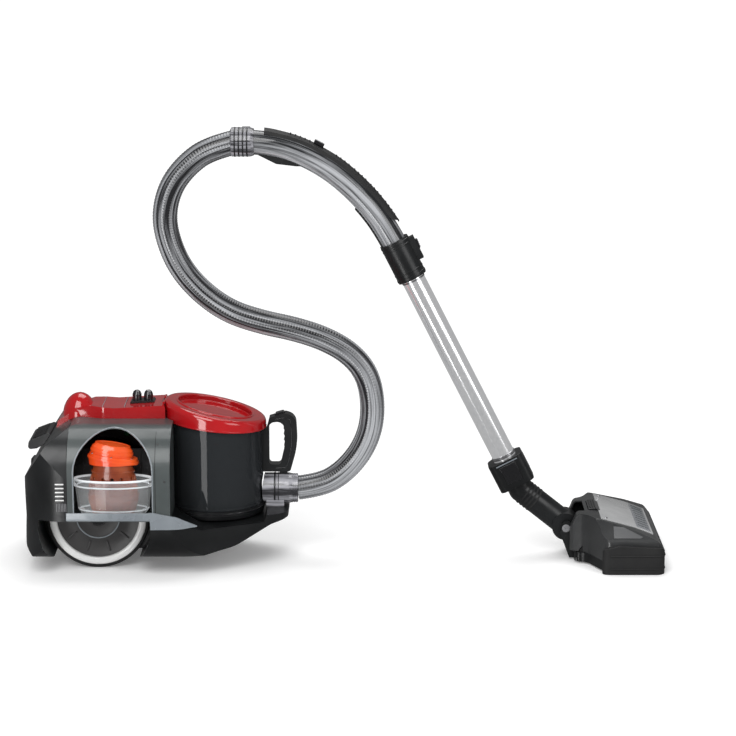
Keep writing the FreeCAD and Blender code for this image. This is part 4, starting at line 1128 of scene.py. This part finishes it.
# ---------------------------------------------------------------- shared small shapes
def bead(name: str, points: Sequence[Vector], radius: float, body: str, finish: Finish,
         closed: bool = False) -> bpy.types.Object:
    """Lay a round bead through points.

    Args:
        name: the piece's name.
        points: places along the bead, in millimetres.
        radius: the bead's radius in millimetres.
        body: the body that it moves with.
        finish: its material.
        closed: whether the bead runs round to its start.

    Returns:
        The new piece.
    """
    data = bpy.data.curves.new(name, "CURVE")
    data.dimensions = "3D"
    data.bevel_depth = radius * MM
    data.bevel_resolution = 3
    data.use_fill_caps = True
    spline = data.splines.new("POLY")
    spline.points.add(len(points) - 1)
    for point, place in zip(spline.points, points):
        point.co = (*(place * MM), 1.0)
    spline.use_cyclic_u = closed
    curve = bpy.data.objects.new(name, data)
    mesh = bpy.data.meshes.new_from_object(curve)
    bm = bmesh.new()
    bm.from_mesh(mesh)
    bpy.data.objects.remove(curve)
    bpy.data.meshes.remove(mesh)
    return settle(bm, name, body, finish, 50.0)


def plate(bm: bmesh.types.BMesh, outline: Sequence[tuple[float, float]], y0: float, y1: float,
          soften: float) -> None:
    """Add a flat plate from an (x, z) outline between two distances from the middle, in millimetres."""
    corners = [bm.verts.new(Vector((x, y0, z)) * MM) for x, z in outline]
    face = bm.faces.new(corners)
    grown = bmesh.ops.extrude_face_region(bm, geom=[face])["geom"]
    moved = [item for item in grown if isinstance(item, bmesh.types.BMVert)]
    bmesh.ops.translate(bm, vec=Vector((0, y1 - y0, 0)) * MM, verts=moved)
    rim = [edge for vert in moved for edge in vert.link_edges if edge.other_vert(vert) in moved]
    bmesh.ops.bevel(bm, geom=list(set(rim)), offset=soften * MM, segments=3, profile=0.5, affect="EDGES",
                    material=-1)


@dataclass
class SoftShells:
    """Softened stand-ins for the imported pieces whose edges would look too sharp."""
    shells: tuple[tuple[str, str, str, Finish, float], ...] = (
        ("top_cover", "red_spine_shell", "canister", RED_GLOSS, 1.6),
        ("rear_grip", "rear_grip_shell", "canister", CASE_BLACK, 1.2),
        ("button_bezel", "key_plinth", "canister", CASE_BLACK, 0.8),
        ("container_handle", "carrying_handle_shell", "container", CASE_BLACK, 2.4),
        ("nozzle_collar", "collar_shell", "wand", CASE_BLACK, 2.4),
        ("nozzle_cover", "head_shell", "head", HEAD_DARK, 1.2),
        ("pedal", "pedal_shell", "foot_pedal", KEY_BLACK, 1.2),
        ("tube_socket", "socket_shell", "canister", CASE_BLACK, 1.2),
        ("trigger_guard", "finger_rest_shell", "canister", CASE_BLACK, 1.0))

    def build(self) -> None:
        """Cover each listed piece."""
        for node, name, body, finish, soften in self.shells:
            cover_node(node, name, body, finish, soften, 3)


# ---------------------------------------------------------------- dust container
@dataclass
class DustContainer:
    """Lid rim, dish, seams, wall ribs and handle details of the lift-out container."""
    x: float = -228.0
    radius: float = 83.0
    lid_radius: float = 89.0
    lid_low: tuple[float, float] = (252.0, 232.0)
    lid_high: tuple[float, float] = (287.0, 248.0)

    def build(self) -> None:
        """Add the container's details."""
        self.lid_details()
        self.wall_rings()
        self.inner_fins()
        self.handle_details()

    def on_plane(self, heights: tuple[float, float], radius: float, angle: float, lift: float) -> Vector:
        """A point at a radius and angle on a sloping plane given by its rear and front heights."""
        rear, front = heights
        x = self.x + radius * math.cos(angle)
        z = front + (rear - front) * (self.x + self.lid_radius - x) / (2 * self.lid_radius)
        return Vector((x, radius * math.sin(angle), z + lift))

    def loop(self, heights: tuple[float, float], radius: float, lift: float,
             steps: int = 96) -> list[Vector]:
        """A closed loop of points on a sloping plane."""
        return [self.on_plane(heights, radius, math.tau * step / steps, lift) for step in range(steps)]

    def lid_details(self) -> None:
        """Raised rim round the dish, a step inside it and the dark seam under the lid."""
        bead("lid_dish_rim", self.loop(self.lid_high, 66.0, -0.3), 2.2, "lid", RED_GLOSS, True)
        bead("lid_dish_step", self.loop(self.lid_high, 61.0, -7.2), 1.2, "lid", RED_GLOSS, True)
        bead("lid_lower_bead", self.loop(self.lid_low, self.lid_radius - 0.7, 1.4), 1.3, "lid",
             RED_GLOSS, True)
        bead("lid_seam", self.loop(self.lid_low, self.radius + 1.6, 0.6), 1.2, "lid", RUBBER, True)
        bm = bmesh.new()
        rear = self.on_plane(self.lid_high, self.lid_radius - 1.5, math.pi, -6.0)
        for low, high in ((-30, -14), (14, 30)):
            revolve(bm, [(0.0, low), (2.2, low), (2.2, high), (0.0, high)], rear * MM,
                    Vector((0, 1, 0)), 24)
        settle(bm, "lid_hinge_knuckles", "lid", RED_GLOSS)

    def wall_rings(self) -> None:
        """Fine ribs round the clear wall and its foot."""
        base = Vector((self.x * MM, 0, 0))
        bm = bmesh.new()
        for z, high in ((101.0, 1.6), (106.0, 0.9)):
            revolve(bm, [(self.radius - 0.4, z - high), (self.radius + 0.8, z - high * 0.4),
                         (self.radius + 0.8, z + high * 0.4), (self.radius - 0.4, z + high)], base,
                    Vector((0, 0, 1)), 96)
        settle(bm, "container_wall_ribs", "container", SMOKE, 20.0)
        bm = bmesh.new()
        revolve(bm, [(84.9, 92.6), (86.4, 93.6), (86.4, 95.0), (84.9, 96.0)], base, Vector((0, 0, 1)), 96)
        settle(bm, "container_foot_ring", "container", KEY_BLACK, 20.0)

    def inner_fins(self) -> None:
        """Upright fins inside the wall that break up the view through it."""
        bm = bmesh.new()
        for number in range(10):
            turn = Matrix.Translation(Vector((self.x, 0, 0)) * MM)
            turn = turn @ Matrix.Rotation(math.tau * (number + 0.5) / 10, 4, "Z")
            block(bm, (47.0, -1.0, 158), (62.0, 1.0, 202), 0.6, 2, turn)
        settle(bm, "cyclone_fins", "container", DRUM_GREY)

    def handle_details(self) -> None:
        """Piping on both faces of the carrying handle and finger ridges inside it."""
        path = [(-122.0, 246.5), (-107.0, 250.0), (-97.0, 246.0), (-94.5, 225.0), (-94.5, 200.0),
                (-99.0, 175.0), (-104.0, 160.0), (-122.0, 159.0)]
        for side in Side:
            points = [Vector((x, side.value * 11.9, z)) for x, z in path]
            bead("handle_piping_" + side.word, points, 0.9, "container", KEY_BLACK)
        bm = bmesh.new()
        for number in range(6):
            z = 178.0 + number * 10.0
            block(bm, (-107.4 - number * 0.25, -7.5, z), (-104.6, 7.5, z + 3.2), 1.1, 3)
        settle(bm, "finger_ridges", "container", RUBBER)


# ---------------------------------------------------------------- handle and wand
@dataclass
class Handle:
    """See-through handle tube with its grip ridges, cuff ring and lower strip."""
    route: tuple[tuple[int, int], ...] = ((-184, 731), (-140, 731), (-84, 717), (-22, 684), (34, 633),
                                          (76, 576), (104, 519))
    radius: float = 21.0
    ridges: int = 26

    def build(self) -> None:
        """Make the tube and its details."""
        line = smooth_line([(x * MM, 0.0, z * MM) for x, z in self.route], 24)
        steps = even_steps(line, 0.004)
        bm = skin_tube(steps, lambda number: self.radius * MM, 48)
        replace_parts(settle(bm, "smoked_handle_tube", "canister", HANDLE_GREY, 60.0), "handle_tube")
        self.grip_ridges(steps)
        self.lower_strip(steps)
        self.cuff()
        self.slider_ridges()

    def seat(self, step: tuple[Vector, Vector]) -> Matrix:
        """Matrix at a step of the tube with X along it and Z towards its upper side."""
        place, way = step
        up = way.cross(Vector((0, 1, 0))).normalized()
        return Matrix.Translation(place) @ Matrix((way, Vector((0, 1, 0)), up)).transposed().to_4x4()

    def grip_ridges(self, steps: Sequence[tuple[Vector, Vector]]) -> None:
        """Soft ridges across the upper side of the grip."""
        bm = bmesh.new()
        first, last = round(len(steps) * 0.22), round(len(steps) * 0.80)
        for number in range(self.ridges):
            seat = self.seat(steps[first + (last - first) * number // (self.ridges - 1)])
            if abs(seat.translation.x + 0.046) > 0.016:
                block(bm, (-1.3, -8.0, self.radius + 3.6), (1.3, 8.0, self.radius + 5.7), 0.8, 3, seat)
        settle(bm, "grip_ridges", "canister", RUBBER)

    def lower_strip(self, steps: Sequence[tuple[Vector, Vector]]) -> None:
        """Black strip along the underside of the tube's lower end."""
        bm = bmesh.new()
        first = round(len(steps) * 0.66)
        for step in steps[first:-6:2]:
            block(bm, (-4.4, -6.5, -self.radius - 2.4), (4.4, 6.5, -self.radius + 1.5), 1.0, 2,
                  self.seat(step))
        settle(bm, "underside_strip", "canister", CASE_BLACK, 50.0)

    def cuff(self) -> None:
        """Rings on the cuff where the hose enters, and its small grey catch."""
        base, along = Vector((-180.0, 0, 731.0)) * MM, Vector((1, 0, 0))
        bm = bmesh.new()
        for low in (-10.0, -3.0, 4.0, 11.0):
            revolve(bm, [(24.6, low), (25.6, low + 0.8), (25.6, low + 2.4), (24.6, low + 3.2)], base,
                    along, 64)
        settle(bm, "cuff_rings", "canister", CASE_BLACK, 25.0)
        bm = bmesh.new()
        block(bm, (-176, -5, 755.0), (-162, 5, 757.4), 1.0, 3)
        settle(bm, "cuff_catch", "canister", DRUM_GREY)

    def slider_ridges(self) -> None:
        """Ridges on the suction relief slide."""
        bm = bmesh.new()
        turn = Matrix.Translation(Vector((-45.6, 0, 726.6)) * MM)
        turn = turn @ Matrix.Rotation(math.radians(27.6), 4, "Y")
        for number in range(4):
            block(bm, (-6.4 + number * 3.6, -5.6, 4.7), (-4.6 + number * 3.6, 5.6, 5.9), 0.5, 2, turn)
        settle(bm, "slider_ridges", "relief", DRUM_GREY)


@dataclass
class Wand:
    """Rings, grooves and locking details along the wand and its socket."""
    top: tuple[float, float, float] = (104.0, 0.0, 519.0)
    foot: tuple[float, float, float] = (286.0, 0.0, 162.0)

    def build(self) -> None:
        """Add the wand's details."""
        start, end = Vector(self.top), Vector(self.foot)
        way = (end - start).normalized()
        length = (end - start).length
        self.rings("socket_ribs", "canister", CASE_BLACK, start, way,
                   ((-43.0, 26.6, 4.0), (-36.0, 26.6, 3.0), (10.0, 26.6, 3.0), (19.0, 26.8, 5.0)), 25.4)
        self.rings("wand_end_ring", "wand", STEEL, start, way, ((length - 24.0, 21.6, 6.0),), 20.0)
        self.rings("wand_upper_ring", "wand", STEEL, start, way, ((28.0, 21.2, 3.0),), 20.0)
        self.collar_details(start, way, length)
        self.button_ridges(start, way)

    def rings(self, name: str, body: str, finish: Finish, start: Vector, way: Vector,
              rows: Sequence[tuple[float, float, float]], inner: float) -> None:
        """Add rounded rings, each given as distance, radius and width."""
        bm = bmesh.new()
        for distance, radius, width in rows:
            revolve(bm, [(inner, distance), (radius - 0.6, distance), (radius, distance + 0.6),
                         (radius, distance + width - 0.6), (radius - 0.6, distance + width),
                         (inner, distance + width)], start * MM, way, 64)
        settle(bm, name, body, finish, 25.0)

    def seat(self, start: Vector, way: Vector) -> Matrix:
        """Matrix with X along the wand, Y across and Z to its upper side, in metres."""
        up = way.cross(Vector((0, 1, 0))).normalized()
        return Matrix.Translation(start * MM) @ Matrix((way, Vector((0, 1, 0)), up)).transposed().to_4x4()

    def collar_details(self, start: Vector, way: Vector, length: float) -> None:
        """Raised panels on the collar's sides and a light line across its top."""
        seat = self.seat(start, way)
        bm = bmesh.new()
        for side in Side:
            y0, y1 = sorted((side.value * 26.8, side.value * 27.6))
            block(bm, (length - 8, y0, -16), (length + 26, y1, 14), 0.7, 3, seat)
        block(bm, (length - 8, -13, 30.6), (length + 22, 13, 31.6), 0.8, 3, seat)
        settle(bm, "collar_panels", "wand", KEY_BLACK)
        bm = bmesh.new()
        for side in Side:
            y0, y1 = sorted((side.value * 27.0, side.value * 27.7))
            block(bm, (length - 12.5, y0, -20), (length - 10.5, y1, 20), 0.3, 2, seat)
        settle(bm, "collar_light_lines", "wand", SILVER)

    def button_ridges(self, start: Vector, way: Vector) -> None:
        """Ridges across the catch button."""
        bm = bmesh.new()
        for number in range(4):
            low = -29.0 + number * 3.6
            block(bm, (low, -5.4, 36.2), (low + 1.6, 5.4, 38.0 - number * 0.2), 0.5, 2,
                  self.seat(start, way))
        settle(bm, "catch_ridges", "tube_catch", DRUM_GREY)


# ---------------------------------------------------------------- floor nozzle
@dataclass
class FloorNozzle:
    """Side panels, window, bumper lines, screws, pedal ridges and underside of the floor head."""
    half: float = 122.0
    bumper_half: float = 131.0
    pivot: tuple[float, float] = (386.0, 56.0)
    slope: float = 21.2

    def build(self) -> None:
        """Add the head's details."""
        self.side_panels()
        self.top_plate()
        self.front_window()
        self.bumper_lines()
        self.pivot_caps()
        self.pedal_ridges()
        self.neck_rings()
        self.underside()
        self.tufts()
        self.roller_bands()

    def side_panels(self) -> None:
        """Lighter triangular panels on the head's sloping shoulders."""
        for side in Side:
            bm = bmesh.new()
            plate(bm, ((462, 7), (462, 31), (480, 29), (512, 10), (508, 7)), -side.value * 0.6,
                  side.value, 0.5)
            turn = Matrix.Rotation(side.value * math.radians(45.0), 3, "X")
            bmesh.ops.rotate(bm, cent=(0, 0, 0), matrix=turn, verts=bm.verts)
            bmesh.ops.translate(bm, vec=Vector((0, side.value * self.half, 56.0)) * MM, verts=bm.verts)
            settle(bm, "side_panel_" + side.word, "head", PANEL_GREY)

    def top_plate(self) -> None:
        """Grey plate that covers the head's top and runs down its front slope, lightened as a painted
        highlight on the top.
        """
        bm = bmesh.new()
        plate(bm, ((442, 85.5), (442, 88.6), (464, 82.8), (500, 73.2), (533, 60.4), (533, 56.5),
                   (500, 69.5), (464, 79.5)), -84, 84, 0.8)
        settle(bm, "head_top_plate", "head", NOZZLE_GREY_AND_HIGHLIGHT)

    def front_window(self) -> None:
        """Smoked see-through panel on the front slope."""
        bm = bmesh.new()
        turn = Matrix.Translation(Vector((517.0, 0, 66.6)) * MM)
        turn = turn @ Matrix.Rotation(math.radians(self.slope), 4, "Y")
        block(bm, (-13, -76, -1.0), (13, 76, 1.2), 0.8, 3, turn)
        settle(bm, "front_window", "head", SMOKE_LIGHT)
        bm = bmesh.new()
        for number in range(9):
            y = -64 + number * 16
            block(bm, (-10, y - 0.7, 0.8), (10, y + 0.7, 1.9), 0.5, 2, turn)
        settle(bm, "window_ribs", "head", CASE_GREY)

    def bumper_outline(self, z: float) -> list[Vector]:
        """Points round the bumper's outer face at one height."""
        corner, front, rear = 16.0, 550.0, 456.0
        half = self.bumper_half
        points = [Vector((rear, -half, z))]
        for degrees in range(-90, 1, 10):
            turn = math.radians(degrees)
            x = front - corner + corner * math.cos(turn)
            points.append(Vector((x, -half + corner + corner * math.sin(turn), z)))
        return points + [Vector((point.x, -point.y, z)) for point in reversed(points)]

    def bumper_lines(self) -> None:
        """Two beads round the soft bumper."""
        bead("bumper_bead_upper", self.bumper_outline(33.0), 1.5, "head", RUBBER)
        bead("bumper_bead_lower", self.bumper_outline(10.0), 1.2, "head", RUBBER)

    def pivot_caps(self) -> None:
        """Round caps on the tilt pivot and screws on top of the head."""
        x, z = self.pivot
        bm = bmesh.new()
        for side in Side:
            revolve(bm, [(0.0, 32.6), (7.0, 32.6), (7.0, 34.0), (6.0, 34.8), (2.2, 34.8), (1.6, 34.2),
                         (0.0, 34.2)], Vector((x, 0, z)) * MM, Vector((0, side.value, 0)), 32)
        settle(bm, "pivot_caps", "head", DRUM_GREY, 25.0)
        bm = bmesh.new()
        for y in (-74.0, 74.0):
            screw(bm, (452, y, 86.0), 2.4, Vector((0.25, 0, 1)).normalized())
        settle(bm, "head_screws", "head", STEEL)

    def pedal_ridges(self) -> None:
        """Ridges across the foot pedal."""
        bm = bmesh.new()
        for number in range(3):
            x = 427.5 + number * 4.2
            z = 91.2 + number * 0.3
            block(bm, (x, -26, z - 0.4), (x + 1.8, 26, z + 1.1), 0.6, 2)
        settle(bm, "pedal_ridges", "foot_pedal", RUBBER)

    def neck_rings(self) -> None:
        """Ribbed sleeve lines round the elbow's lower arm."""
        knee = Vector((286.0, 0, 162.0)) + Vector((182.0, 0, -357.0)).normalized() * 50.0
        end = Vector((self.pivot[0], 0, self.pivot[1]))
        way = (end - knee).normalized()
        bm = bmesh.new()
        for number in range(4):
            low = 6.0 + number * 7.0
            revolve(bm, [(21.4, low), (22.8, low + 1.0), (22.8, low + 3.0), (21.4, low + 4.0)],
                    knee * MM, way, 56)
        settle(bm, "elbow_rings", "elbow", RUBBER, 25.0)

    def underside(self) -> None:
        """Thread lifters beside the slot and screws under the head."""
        bm = bmesh.new()
        for x in (490.5, 524.5):
            block(bm, (x, -100, 2.0), (x + 3.0, 100, 3.6), 0.5, 2)
        settle(bm, "thread_lifters", "head", RED_GLOSS)
        bm = bmesh.new()
        for x, y in ((454, -100), (454, 100), (534, -112), (534, 112)):
            screw(bm, (x, y, 3.2), 3.0, Vector((0, 0, -1)))
        settle(bm, "sole_screws", "head", STEEL)

    def tufts(self) -> None:
        """Separate bristle tufts along both brush strips."""
        bm = bmesh.new()
        for x in (473.5, 482.5):
            for number in range(52):
                y = -104.0 + number * 4.08
                block(bm, (x - 1.9, y - 1.2, 2.9), (x + 1.9, y + 1.2, 7.4))
        settle(bm, "bristle_tufts", "brush", BRISTLE)

    def roller_bands(self) -> None:
        """Soft bands round the rear rollers."""
        bm = bmesh.new()
        for side in Side:
            for distance in (38.0, 44.0, 50.0):
                revolve(bm, [(15.6, distance - 1.6), (16.4, distance - 0.9), (16.4, distance + 0.9),
                             (15.6, distance + 1.6)], Vector((424.0, 0, 16.0)) * MM,
                        Vector((0, side.value, 0)), 48)
        settle(bm, "roller_bands", "rollers", RUBBER, 25.0)


# ---------------------------------------------------------------- port, coupling and underside
@dataclass
class HosePort:
    """Ribs on the hose port and the coupling, and the coupling's end ring."""
    z: float = 121.0
    radius: float = 27.0

    def build(self) -> None:
        """Add the rings."""
        base, along = Vector((0, 0, self.z)) * MM, Vector((1, 0, 0))
        bm = bmesh.new()
        for low, width in ((-126.0, 3.4), (-119.0, 2.0)):
            revolve(bm, [(26.0, low), (self.radius + 0.9, low + 0.6),
                         (self.radius + 0.9, low + width - 0.6), (26.0, low + width)], base, along, 64)
        settle(bm, "port_ring", "canister", CASE_BLACK, 25.0)
        bm = bmesh.new()
        for low in (-98.0, -94.6, -91.2, -87.8):
            revolve(bm, [(23.5, low), (25.7, low + 0.5), (25.7, low + 1.8), (23.5, low + 2.3)], base,
                    along, 64)
        settle(bm, "coupling_rings", "canister", PORT_GREY, 25.0)


@dataclass
class Underside:
    """Screws and stiffening ribs under the canister and across its tail."""
    floor: float = 27.0

    def build(self) -> None:
        """Add the underside's details."""
        bm = bmesh.new()
        for x, y in ((-520, -70), (-520, 70), (-330, -60), (-330, 60), (-470, 0)):
            screw(bm, (x, y, self.floor + 0.2), 3.4, Vector((0, 0, -1)))
        settle(bm, "chassis_screws", "canister", STEEL)
        bm = bmesh.new()
        for number in range(8):
            x = -400 + number * 9
            block(bm, (x, -34, self.floor - 0.8), (x + 3.4, 34, self.floor + 0.6), 0.5, 2)
        settle(bm, "chassis_ribs", "canister", CASE_BLACK)
        bm = bmesh.new()
        for number in range(6):
            z = 56 + number * 6
            block(bm, (-552.6, -52, z), (-551.0, 52, z + 2.4), 0.6, 2)
        settle(bm, "tail_ribs", "canister", CASE_BLACK)


def main() -> None:
    """Build the studio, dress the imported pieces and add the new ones."""
    logging.basicConfig(level=logging.INFO)
    for part in (Studio(), HoseLine(), PlainFinishes(), SoftShells(), RearWheel(Side.RIGHT),
                 RearWheel(Side.LEFT), FrontCaster(), CanisterTrim(), MotorUnit(), DustContainer(),
                 Handle(), Wand(), FloorNozzle(), HosePort(), Underside()):
        LOG.info("building %s", type(part).__name__)
        part.build()


if __name__ == "__main__":
    main()
